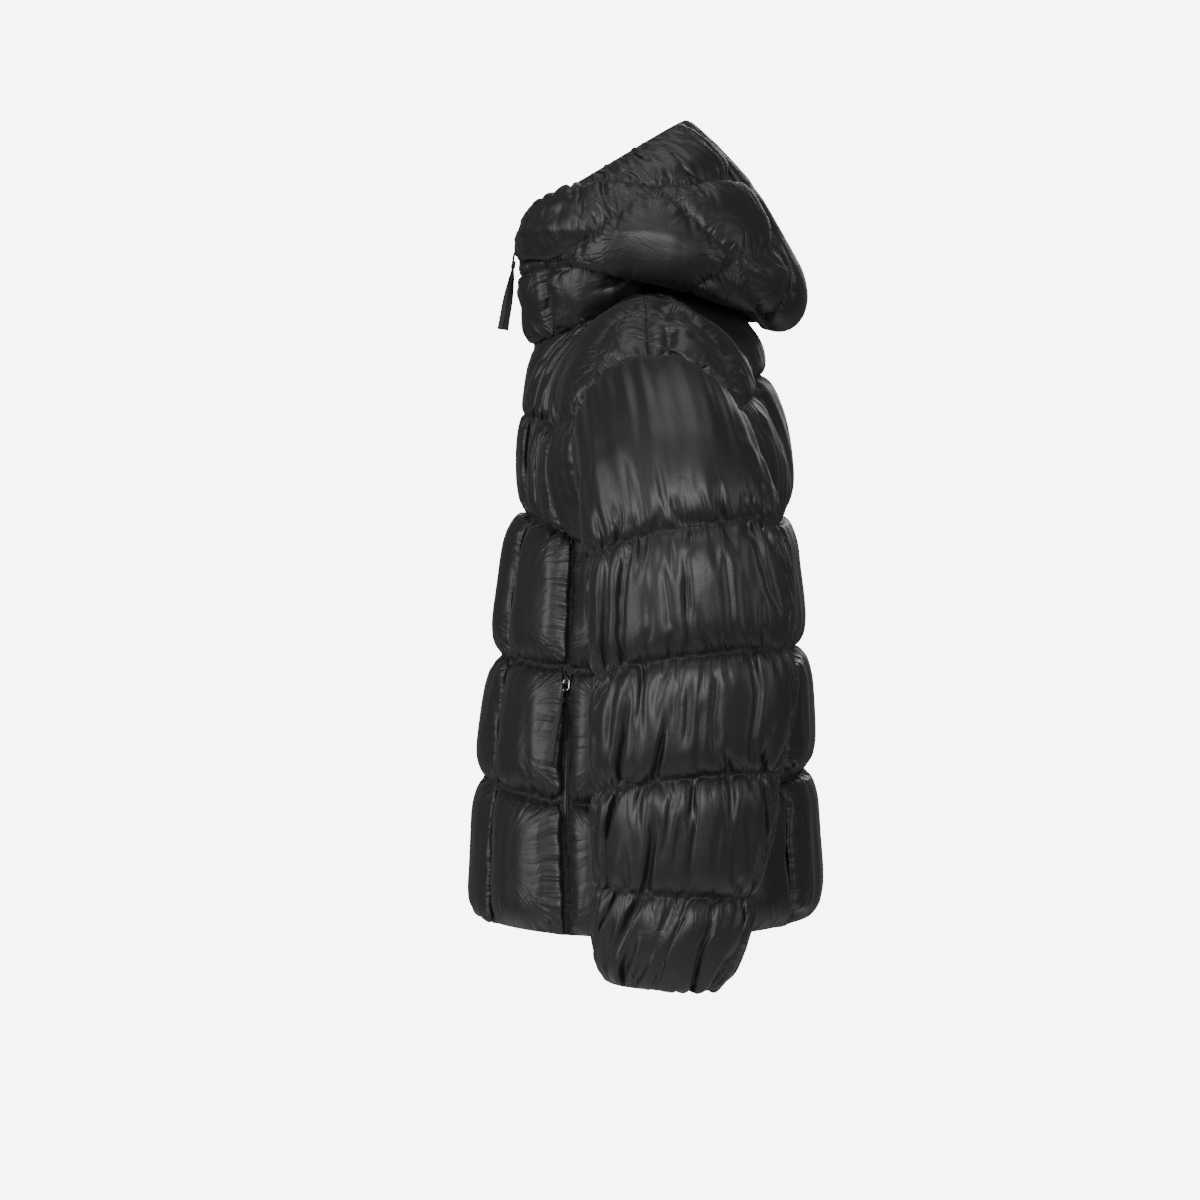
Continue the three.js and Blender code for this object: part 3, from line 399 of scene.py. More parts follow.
# %% Soft noise, the same on every run
def streaks(seed, shape, across, along):
    """Smooth noise of unit size on a grid, with waves of the given numbers of steps in each direction."""
    noise = np.random.default_rng(seed).normal(size=shape)
    for axis, width in ((0, across), (1, along)):
        reach = int(3 * width) + 1
        kernel = np.exp(-0.5 * (np.arange(-reach, reach + 1) / width) ** 2)
        padded = np.pad(noise, [(reach, reach) if k == axis else (0, 0) for k in (0, 1)], mode="reflect")
        noise = np.apply_along_axis(np.convolve, axis, padded, kernel / kernel.sum(), "valid")
    return noise / noise.std()


print("noise of 6 by 6 points:", np.round(streaks(1, (6, 6), 0.8, 0.8)[0], 2))

# %% Cut, mark and lay out one piece
pieces = {}


def evened(lengths, axis, width=4):
    """Lengths along the cloth, evened out over about a chamber, as in a cut with straight edges."""
    reach = int(2.5 * width)
    kernel = np.exp(-0.5 * (np.arange(-reach, reach + 1) / width) ** 2)
    pad = [(reach, reach) if k == axis else (0, 0) for k in (0, 1)]
    padded = np.pad(lengths, pad, mode="edge")
    return np.apply_along_axis(np.convolve, axis, padded, kernel / kernel.sum(), "valid")


def cut(name, us, vs, place, sewn, puff_start=0.9, loose=(0.015, 0.0), gather_extra=(0.13, 0.04), shallow=0.0, seed=0,
        mirrored=False):
    """Makes one piece of cloth. place(U, V) gives the base, the direction outwards and the height of the filling,
    in mm; sewn(U, V, base) marks the stitched points. shallow is how far the seams inside the piece stand out."""
    U, V = np.meshgrid(us, vs, indexing="ij")
    base, out, high = place(U, V)
    stitched = sewn(U, V, base)
    flip = np.array([-1, 1, 1]) if mirrored else 1
    base, out = base * flip, out * flip
    rim = np.ones(U.shape, bool)
    rim[1:-1, 1:-1] = False
    lift = shallow * (1 - np.exp(-to_nearest(base, rim)[0] / 22))
    base, high = base + out * lift[..., None], high * (1 - lift / high.max())
    inner = stitched.copy()
    inner[[0, -1]] = inner[:, [0, -1]] = False
    drift = streaks(seed + 5, U.shape, 1.6, 1.6) * 0.7 * inner
    along_v = unit(np.gradient(base, axis=1))
    base = base + along_v * drift[..., None] - out * (np.abs(streaks(seed + 6, U.shape, 1.3, 1.3)) * 0.9 * inner)[..., None]
    far, nearest = to_nearest(base, stitched)
    full = base + out * high[..., None]
    wavy = np.random.default_rng(seed).normal(size=U.shape) * 0.4 + streaks(seed + 1, U.shape, 1.2, 3) * 0.8
    wavy = wavy * np.clip(far / 12, 0, 1)
    start = base + out * (high * puff_start + wavy)[..., None]
    beside = np.exp(-far / 11)
    steps_u = evened(np.linalg.norm(np.diff(full, axis=0), axis=-1), 1)
    steps_v = evened(np.linalg.norm(np.diff(full, axis=1), axis=-1), 0)
    steps_u = steps_u * (1 + loose[0] + gather_extra[0] * (beside[1:] + beside[:-1]) / 2)
    steps_v = steps_v * (1 + loose[1] + gather_extra[1] * (beside[:, 1:] + beside[:, :-1]) / 2)
    x = np.vstack([np.zeros((1, len(vs))), np.cumsum(steps_u, 0)])
    y = np.hstack([np.zeros((len(us), 1)), np.cumsum(steps_v, 1)])
    x = x - x[len(us) // 2]
    pieces[name] = dict(us=us, vs=vs, base=base, out=out, start=start, pattern=xyz(x, y, 0), sewn=stitched,
                        far=far, seam_place=xyz(x, y, 0).reshape(-1, 3)[nearest], full=full, mirrored=mirrored)
    print(name, U.shape, "points,", int(stitched.sum()), "sewn down, cut", round(float(np.ptp(x))), "x",
          round(float(np.ptp(y))), "mm")


# %% [markdown]
# ## Fronts and back
# Each front has five rows of quilting and three columns, and a curved seam that runs round the shoulder point. The
# curve doesn't follow the grid, so grid points beside it are first moved onto it: a seam made of nearest points would
# look like a staircase. The back is one piece with a column line on each side.

# %% Cut the fronts and the back
def on_cap_seam(side, U, V):
    """Moves the points that lie beside the curved shoulder seam onto it, and says which they are."""
    c = np.abs(U)
    t = yoke_share(side, c, V)
    ring = cap_ring(side, c, t)
    near = (np.abs(ring - 1) * 45 < 2.6) & (V > 4) & (V < 4.995) & (c < 0.998)
    safe = np.maximum(ring, 1e-6)
    c2 = np.where(near, 1 - (1 - c) / safe, c)
    t2 = np.where(near, 1 - (1 - t) / safe, t)
    seam = smooth(*YOKE[side], c2)
    v2 = np.where(near, np.clip(4 + (t2 - seam) / (1 - seam), 4, 5), V)
    return np.where(U < 0, -c2, c2), v2, near


def body_place(side):
    def place(U, V):
        U2, V2, _ = on_cap_seam(side, U, V)
        c, v = np.minimum(np.abs(U2), 0.9995), np.minimum(V2, 4.999)
        base = torso_base(side, c, v)
        out = torso_out(base)
        mirror = xyz(np.where(U < 0, -1, 1), 1, 1)
        return base * mirror, out * mirror, torso_puff(side, c, v)
    return place


def body_sewn(side):
    def sewn(U, V, base):
        c = np.abs(U)
        mark = on_cap_seam(side, U, V)[2] | (np.abs(V - np.round(V)) < 1e-6) | (c > 1 - 1e-6)
        if side == "front":
            mark |= (c < 1e-6) | ((V < 4) & (np.abs(c - PRINCESS) < 1e-6))
            mark |= (V < 4) & (np.abs(c - POCKET) * 300 < POCKET_FLAT + 0.1)
        else:
            mark |= (V < 4) & (np.abs(c - COLUMNS["back"][0]) < 1e-6)
        return mark
    return sewn


ROWS = lines([0, 1, 2, 3, 4, 5], [22, 20, 22, 17, 18])
flat = POCKET_FLAT / 300
front_columns = lines([0, PRINCESS, POCKET - flat, POCKET + flat, 1], [27, 36, 2, 34])
half_back = lines([0, COLUMNS["back"][0], 1], [40, 46])
back_columns = np.concatenate([-half_back[:0:-1], half_back])
for side_name, flipped, seed in (("left", False, 11), ("right", True, 12)):
    cut("front_" + side_name, front_columns, ROWS, body_place("front"), body_sewn("front"), loose=(0.025, 0.01),
        gather_extra=(0.13, 0.06), seed=seed, mirrored=flipped)
cut("back", back_columns, ROWS, body_place("back"), body_sewn("back"), loose=(0.025, 0.01),
    gather_extra=(0.13, 0.05), seed=13)

# %% [markdown]
# ## Sleeves, hood and collar
# A sleeve has an upper and an under half, sewn together at the elbow and along the inner front. The hood is quilted
# in diamonds whose lines are known only from the side, so its points are moved onto them along the hood's own
# surface. Its lowest part is tucked in behind the collar and stays plain.

# %% Cut the sleeves
def sleeve_place(first, later):
    def place(U, V):
        s = np.clip(V, 0.008, 5)
        degrees = mix(mix(first[0] + 0.13, first[1] - 0.13, U), mix(later[0](s) + 0.13, later[1](s) - 0.13, U), ease(s))
        base = sleeve_ring(s, degrees)
        return base, unit(base - sleeve_centre(s)), sleeve_puff(s, degrees, U)
    return place


def sleeve_sewn(U, V, base):
    return (np.abs(V - np.round(V)) < 1e-6) | (U < 1e-6) | (U > 1 - 1e-6)


SLEEVE_LINES = lines([0, 1, 2, 3, 4, 5], [24, 19, 19, 17, 16])
inner = lambda s: 112 + 0 * s
around = lambda s: 360 + back_seam(s)
for side_name, flipped, seed in (("left", False, 21), ("right", True, 23)):
    cut("sleeve_upper_" + side_name, lines([0, 1], [96]), SLEEVE_LINES,
        sleeve_place((-90.87, 112.88), (back_seam, inner)), sleeve_sewn, shallow=6.0, seed=seed, mirrored=flipped)
    cut("sleeve_under_" + side_name, lines([0, 1], [36]), lines([0, 1, 2, 3, 4, 5], [17, 14, 14, 12, 11]),
        sleeve_place((112.88, 269.13), (inner, around)), sleeve_sewn, shallow=6.0, seed=seed + 1, mirrored=flipped)

# %% Cut the hood and the collar
def both_ways(angle):
    """A place round the neck counted from the front on either side, and the sign of its x."""
    return np.where(angle > 180, 360 - angle, angle), np.where(angle > 180, -1, 1)


def hood_place(U, V):
    angle, hand = both_ways(U)
    base, out = hood_base(angle, V), hood_out(angle, V)
    far, step = to_hood_line(base)
    near = (far < 2.7) & (angle < HOOD_STRIP) & (V > 0.9) & (np.abs(out[..., 0]) > 0.3)
    over = -(out[..., 1] * step[..., 0] + out[..., 2] * step[..., 1]) / np.where(near, out[..., 0], 1)
    base = base + xyz(over, step[..., 0], step[..., 1]) * near[..., None]
    high = np.where(near, 0, hood_puff(angle, V, base)) * mix(1, 0.6, ease((V - 3.1) / 0.9))
    mirror = xyz(hand, 1, 1)
    return base * mirror, out * mirror, high


def hood_sewn(U, V, base):
    angle, hand = both_ways(U)
    mark = (V < 0.62) | (V > 4 - 1e-6) | (U <= U.min() + 1e-6) | (U >= U.max() - 1e-6)
    on_line = to_hood_line(base * xyz(hand, 1, 1))[0] < 0.02
    return mark | (on_line & (angle < HOOD_STRIP) & (V > 0.9))


def collar_place(U, V):
    angle, hand = both_ways(U)
    turn = np.radians(angle)
    mirror = xyz(hand, 1, 1)
    return collar_base(angle, V) * mirror, xyz(np.sin(turn), -np.cos(turn), 0) * mirror, collar_puff(angle, V)


def collar_sewn(U, V, base):
    angle = both_ways(U)[0]
    return (V < 0.01) | (V > 1 - 1e-6) | (angle < 1e-6) | (np.abs(angle - COLLAR_SEAM) < 1e-6)


hood_levels = lines([0, 1, 2, 3, 4], [6, 10, 13, 12])
for side_name, flipped, seed in (("left", False, 31), ("right", True, 32)):
    cut("hood_side_" + side_name, (HOOD_STRIP + 0.12) * np.linspace(0, 1, 105) ** 0.9, hood_levels, hood_place,
        hood_sewn, gather_extra=(0.06, 0.03), shallow=3.5, seed=seed, mirrored=flipped)
cut("hood_centre", np.linspace(HOOD_STRIP, 360 - HOOD_STRIP, 33), hood_levels, hood_place, hood_sewn, seed=33)
cut("collar", lines([0, COLLAR_SEAM, 180, 360 - COLLAR_SEAM, 360], [20, 56, 56, 20]), mix(0.006, 1, lines([0, 1], [16])),
    collar_place, collar_sewn, seed=34)

# %% [markdown]
# ## Blow the pieces up
# Down pushes the cloth out everywhere with the same small pressure, which is what the Cloth solver's pressure does.
# Gravity is off: the shape of the worn coat is already in the pattern. Sewn points are pinned. All pieces are made
# first and then stepped together, since Blender solves separate objects side by side. Afterwards no point may lie
# more than a set distance from where the solid is, because neighbours have to stay clear of each other.

# %% Make the sheets and give them to the cloth solver
MM = 0.001
LIMITS = {"hood": (0.8, 4.0, 5.0), "collar": (0.8, 6.0, 5.0), "front": (1.5, 9.0, 9.0)}  # how far a point may move over, under and along, in mm


def grid_faces(nu, nv):
    k = np.arange(nu * nv).reshape(nu, nv)
    return np.stack([k[:-1, :-1], k[1:, :-1], k[1:, 1:], k[:-1, 1:]], -1).reshape(-1, 4)


def sheet_object(name, points, flip_faces):
    nu, nv = points.shape[:2]
    faces = grid_faces(nu, nv)
    faces = faces[:, ::-1] if flip_faces else faces
    mesh = bpy.data.meshes.new(name)
    mesh.from_pydata((points.reshape(-1, 3) * MM).tolist(), [], faces.tolist())
    sheet = bpy.data.objects.new(name, mesh)
    bpy.context.scene.collection.objects.link(sheet)
    return sheet


def faces_inwards(piece):
    """True when the grid's own face direction points into the coat."""
    p, out = piece["base"], piece["out"]
    i, j = p.shape[0] // 2, p.shape[1] // 2
    normal = np.cross(p[i + 1, j] - p[i, j], p[i, j + 1] - p[i, j])
    return normal @ out[i, j] < 0


def give_to_solver(name, piece, pressure=4.0):
    sheet = sheet_object("sheet_" + name, piece["start"], faces_inwards(piece))
    sheet.shape_key_add(name="worn")
    pattern = sheet.shape_key_add(name="pattern")
    pattern.data.foreach_set("co", (piece["pattern"].reshape(-1) * MM))
    group = sheet.vertex_groups.new(name="sewn")
    group.add([int(i) for i in np.flatnonzero(piece["sewn"])], 1.0, "REPLACE")
    cloth = sheet.modifiers.new("down", "CLOTH")
    settings = cloth.settings
    settings.vertex_group_mass = "sewn"
    settings.rest_shape_key = pattern
    settings.quality = 5
    settings.mass = 0.01
    settings.tension_stiffness = settings.compression_stiffness = 12
    settings.shear_stiffness = 4
    settings.bending_model = "LINEAR"
    settings.bending_stiffness = 0.03
    settings.tension_damping = settings.compression_damping = settings.shear_damping = 5
    settings.bending_damping = 0.5
    settings.air_damping = 2
    settings.use_pressure = True
    settings.uniform_pressure_force = pressure
    settings.effector_weights.gravity = 0
    cloth.collision_settings.use_collision = False
    return sheet


# %% Step the solver and read the shapes
import time

begun = time.time()
blown = {}
sheets = {name: give_to_solver(name, piece) for name, piece in pieces.items()}
for frame_number in range(1, 21):
    bpy.context.scene.frame_set(frame_number)
seen = bpy.context.evaluated_depsgraph_get()
for name, sheet in sheets.items():
    done = sheet.evaluated_get(seen).to_mesh()
    co = np.empty(len(done.vertices) * 3)
    done.vertices.foreach_get("co", co)
    blown[name] = co.reshape(pieces[name]["start"].shape) / MM
    bpy.data.objects.remove(sheet)
bpy.context.scene.frame_set(1)
print("cloth solver:", len(blown), "pieces in", round(time.time() - begun, 1), "s")

# %% [markdown]
# ## Gather the cloth on its seams
# Blender's solver lets an edge get shorter without pushing back, so extra cloth vanishes instead of wrinkling. The
# second step puts that right: every edge of the grid, its diagonals and its two-step spans are moved to their cut
# lengths again and again, while the filling keeps pushing. Cloth that is too long for its seam has nowhere to go but
# up and down, and the puckers appear by themselves. Half of the edges are moved at a time, so that no point is moved
# twice at once.

# %% Move the grid to its cut lengths
def fit_pairs(p, free, first, second, length, share):
    """Moves two sets of points, given as slices, towards the cut length between them."""
    a, b, wa, wb = p[first], p[second], free[first], free[second]
    gap = b - a
    far = np.sqrt((gap * gap).sum(-1))
    move = gap * (share * (far - length) / np.maximum(far, 1e-6) / np.maximum(wa + wb, 1))[..., None]
    p[first] += move * wa[..., None]
    p[second] -= move * wb[..., None]


def spans(shape, step_u, step_v):
    """Slices for all pairs of points that lie the given steps apart, in groups that share no point."""
    nu, nv = shape
    groups = []
    for axis_step, size, across in ((step_u, nu, 0), (step_v, nv, 1)):
        if axis_step == 0:
            continue
        for start in range(2 * axis_step):
            count = len(range(start, size - axis_step, 2 * axis_step))
            if count < 1:
                continue
            low = slice(start, start + 2 * axis_step * (count - 1) + 1, 2 * axis_step)
            high = slice(start + axis_step, start + axis_step + 2 * axis_step * (count - 1) + 1, 2 * axis_step)
            groups.append((low, high))
        if step_u and step_v:
            break
    whole, head, tail = slice(None), slice(0, -1), slice(1, None)
    if step_u and step_v > 0:
        return [((low, head), (high, tail)) for low, high in groups]
    if step_u and step_v < 0:
        return [((low, tail), (high, head)) for low, high in groups]
    return [((low, whole), (high, whole)) if step_u else ((whole, low), (whole, high)) for low, high in groups]


def held_near(piece, p):
    """No point may stand far over its solid, move far along it, or sink below the seams."""
    moved = p - piece["full"]
    up = (moved * piece["out"]).sum(-1, keepdims=True)
    along = moved - up * piece["out"]
    far = np.linalg.norm(along, axis=-1, keepdims=True)
    over, under, aside = piece["limits"]
    up = np.where(up > 0, over * np.tanh(up / over), np.maximum(up, -under))
    return piece["full"] + up * piece["out"] + along * np.minimum(1, aside / np.maximum(far, 1e-6))


def gather(piece, p, rounds=70, sweeps=5, push=0.10, stiff=0.02):
    pattern, free = piece["pattern"], np.where(piece["sewn"], 0.0, 1.0)
    ways = [(1, 0, 1.0), (0, 1, 1.0), (1, 1, 0.02), (1, -1, 0.02), (2, 0, stiff), (0, 2, stiff)]
    jobs = []
    for step_u, step_v, share in ways:
        for first, second in spans(free.shape, step_u, step_v):
            jobs.append((first, second, np.linalg.norm(pattern[second] - pattern[first], axis=-1), share))
    p = p.copy()
    before = p.copy()
    side = -1 if faces_inwards(piece) else 1
    for turn in range(rounds):
        along_u, along_v = np.gradient(p, axis=0), np.gradient(p, axis=1)
        normal = unit(np.cross(along_u, along_v)) * side
        speed = (p - before) * 0.85
        before = p.copy()
        p += (speed + normal * push) * free[..., None]
        for sweep in range(sweeps):
            for first, second, length, share in jobs:
                fit_pairs(p, free, first, second, length, share)
        p = held_near(piece, p)
    return p


begun = time.time()
settled = {}
for name, piece in pieces.items():
    piece["limits"] = LIMITS.get(name.split("_")[0], (2.5, 9.0, 9.0))
    start = blown.get(name, piece["start"])
    settled[name] = gather(piece, start)
    up = ((settled[name] - piece["full"]) * piece["out"]).sum(-1)[~piece["sewn"]]
    print(name, "stands", round(float(up.mean()), 1), "mm over its solid, between",
          np.round(np.percentile(up, [2, 98]), 1))
print("gathering took", round(time.time() - begun, 1), "s")

# %% [markdown]
# ## Close each piece into a padded wall
# A solver's sheet has no thickness. The wall needs the sewn-down outside, a plain lining 3 mm behind the seams and an
# edge that joins the two. The outside gets one level of subdivision, which smooths the solver's facets, with creases
# on the stitched lines so that they stay sharp. The grid place of each point travels along as an attribute, and it
# tells which new point is where.

# %% Subdivide a sheet and keep its grid
def subdivided(name, points, sewn):
    nu, nv = sewn.shape
    sheet = sheet_object("fine_" + name, points, False)
    mesh = sheet.data
    place = np.stack(np.meshgrid(np.arange(nu), np.arange(nv), indexing="ij"), -1).reshape(-1, 2).astype(float)
    for k, letter in enumerate("uv"):
        mesh.attributes.new("grid_" + letter, "FLOAT", "POINT").data.foreach_set("value", place[:, k])
    ends = np.empty(len(mesh.edges) * 2, int)
    mesh.edges.foreach_get("vertices", ends)
    on_seam = sewn.reshape(-1)[ends].reshape(-1, 2).all(1)
    mesh.attributes.new("crease_edge", "FLOAT", "EDGE").data.foreach_set("value", np.where(on_seam, 0.75, 0.0))
    sheet.modifiers.new("fine", "SUBSURF").levels = 1
    done = sheet.evaluated_get(bpy.context.evaluated_depsgraph_get()).to_mesh()
    count = len(done.vertices)
    co, u, v = np.empty(count * 3), np.empty(count), np.empty(count)
    done.vertices.foreach_get("co", co)
    done.attributes["grid_u"].data.foreach_get("value", u)
    done.attributes["grid_v"].data.foreach_get("value", v)
    i, j = np.round(2 * u).astype(int), np.round(2 * v).astype(int)
    fine = np.zeros((2 * nu - 1, 2 * nv - 1, 3))
    fine[i, j] = co.reshape(-1, 3) / MM
    bpy.data.objects.remove(sheet)
    return fine


# %% Close a wall
def wall_mesh(name, outside, lining, skip):
    """One closed mesh from a fine outer grid and a coarse inner one that holds every skip-th point of it."""
    nu, nv = outside.shape[:2]
    cu = np.unique(np.append(np.arange(0, nu, skip), nu - 1))
    cv = np.unique(np.append(np.arange(0, nv, skip), nv - 1))
    inside = lining[np.ix_(cu, cv)]
    outer = np.arange(nu * nv).reshape(nu, nv)
    inner = nu * nv + np.arange(len(cu) * len(cv)).reshape(len(cu), len(cv))
    faces = grid_faces(nu, nv).tolist()
    faces += (nu * nv + grid_faces(len(cu), len(cv)))[:, ::-1].tolist()
    for line, marks, ring, back in ((outer[:, 0], cu, inner[:, 0], False), (outer[-1], cv, inner[-1], False),
                                    (outer[:, -1], cu, inner[:, -1], True), (outer[0], cv, inner[0], True)):
        for k in range(len(marks) - 1):
            loop = [*line[marks[k]:marks[k + 1] + 1][::-1].tolist(), int(ring[k]), int(ring[k + 1])]
            faces.append(loop[::-1] if back else loop)
    mesh = bpy.data.meshes.new(name)
    mesh.from_pydata((np.vstack([outside.reshape(-1, 3), inside.reshape(-1, 3)]) * MM).tolist(), [], faces)
    mesh.validate()
    body = bmesh.new()
    body.from_mesh(mesh)
    bmesh.ops.recalc_face_normals(body, faces=body.faces)
    body.to_mesh(mesh)
    body.free()
    sizes = np.empty(len(mesh.polygons), int)
    mesh.polygons.foreach_get("loop_total", sizes)
    mesh.polygons.foreach_set("use_smooth", sizes == 4)
    return mesh


def finer(values):
    """Numbers on a grid, with the middles of its steps added."""
    for axis in (0, 1):
        size = values.shape[axis]
        read = lambda row: np.interp(np.arange(2 * size - 1) / 2, np.arange(size), row)
        values = np.apply_along_axis(read, axis, values)
    return values


def from_lines(points, sewn, axis):
    """Distance along the cloth to the nearest line that is sewn from end to end (0: columns, 1: rows)."""
    others = 1 - axis
    whole = np.flatnonzero(sewn.mean(axis=others) > 0.6)
    run = run_lengths(points, axis)
    marks = np.take(run, whole, axis)
    gaps = np.abs(np.expand_dims(run, axis + 1) - np.expand_dims(marks, axis))
    return gaps.min(axis=axis + 1)


def blurred(values, width=1.2):
    """Numbers on a grid, softened over their neighbours."""
    kernel = np.exp(-0.5 * (np.arange(-4, 5) / width) ** 2)
    for axis in (0, 1):
        padded = np.pad(values, [(4, 4) if k == axis else (0, 0) for k in (0, 1)], mode="edge")
        values = np.apply_along_axis(np.convolve, axis, padded, kernel / kernel.sum(), "valid")
    return values


def to_middle(far, reach=13):
    """1 on a seam, falling to 0 in the middle of the chamber."""
    deepest = far
    for axis in (0, 1):
        size = far.shape[axis]
        shifted = [np.take(deepest, np.clip(np.arange(size) + k, 0, size - 1), axis) for k in range(-reach, reach + 1)]
        deepest = np.max(shifted, 0)
    return np.clip(1 - blurred(far) / np.maximum(blurred(deepest), 1), 0, 1)


def puckers(name, outside):
    """Small gathers beside the seams, finer than the solver's grid can hold, as heights in mm."""
    piece = pieces[name]
    seed = sum(map(ord, name))
    heights = np.zeros(outside.shape[:2])
    for axis, (across, along) in ((1, (1.5, 7.0)), (0, (6.0, 1.6))):
        near = finer(from_lines(piece["full"], piece["sewn"], axis))
        strength = (1 - np.exp(-near / 3.0)) * np.exp(-near / 17.0)
        patchy = 0.6 + 0.5 * np.clip(streaks(seed + 7 + axis, heights.shape, 16, 16), -1, 1.5)
        heights += streaks(seed + axis, heights.shape, across, along) * strength * patchy * 1.25
    far = finer(piece["far"])
    creases = streaks(seed + 3, heights.shape, 3.0, 4.0) * 0.3 + streaks(seed + 4, heights.shape, 9, 12) * 0.8
    creases += streaks(seed + 8, heights.shape, *((16, 2.6) if "hood" in name else (2.8, 16))) * 0.45
    rows = np.interp(np.arange(heights.shape[1]) / 2, np.arange(len(piece["vs"])), piece["vs"])
    if "hood" in name:
        heights, creases = heights * np.clip((4 - rows) / 0.4, 0.2, 0.8), creases * np.clip((4 - rows) / 0.5, 0, 1)
    if name == "collar":
        creases = creases * 1.3 + streaks(seed + 9, heights.shape, 5, 2.6) * 1.2
    if "upper" in name:
        creases += streaks(seed + 10, heights.shape, 2.2, 24) * 1.7 * np.clip(1.1 - rows, 0, 1)
    return heights + creases * (1 - np.exp(-far / 8.0))


def build_padding(name, lining_skip=6):
    piece = pieces[name]
    outside = subdivided(name, settled[name], piece["sewn"])
    side = -1 if faces_inwards(piece) else 1
    normal = unit(np.cross(np.gradient(outside, axis=0), np.gradient(outside, axis=1))) * side
    outside = outside + normal * puckers(name, outside)[..., None]
    lining = subdivided(name, piece["base"] - piece["out"] * WALL, piece["sewn"])
    mesh = wall_mesh(name, outside, lining, lining_skip)
    obj = bpy.data.objects.new("down_" + name, mesh)
    bpy.context.scene.collection.objects.link(obj)
    piece["outside"] = outside
    count = outside[..., 0].size
    from_seam, cut_place, seam_place = np.full(len(mesh.vertices), 0.04), *np.zeros((2, len(mesh.vertices), 3))
    from_seam[:count] = finer(piece["far"]).reshape(-1) * MM
    lean = math.radians(90 if "hood" in name else 24 if "front" in name else 0)
    x, y = (finer(piece["pattern"][..., k]).reshape(-1) * MM for k in (0, 1))
    cut_place[:count, 0] = x * math.cos(lean) - y * math.sin(lean)
    cut_place[:count, 1] = x * math.sin(lean) + y * math.cos(lean)
    for k in (0, 1):
        seam_place[:count, k] = finer(blurred(piece["seam_place"][..., k])).reshape(-1) * MM
    beside = np.zeros(len(mesh.vertices))
    beside[:count] = finer(to_middle(piece["far"])).reshape(-1)
    mesh.attributes.new("beside_seam", "FLOAT", "POINT").data.foreach_set("value", beside)
    mesh.attributes.new("from_seam", "FLOAT", "POINT").data.foreach_set("value", from_seam)
    mesh.attributes.new("cut_place", "FLOAT_VECTOR", "POINT").data.foreach_set("vector", cut_place.reshape(-1))
    mesh.attributes.new("seam_place", "FLOAT_VECTOR", "POINT").data.foreach_set("vector", seam_place.reshape(-1))
    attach(obj, "garment")
    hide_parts(name)
    return obj


begun = time.time()
padding = {name: build_padding(name) for name in pieces}
triangles = sum(len(polygon.vertices) - 2 for obj in padding.values() for polygon in obj.data.polygons)
print("padded pieces:", len(padding), "with", triangles, "triangles,", round(time.time() - begun, 1), "s")
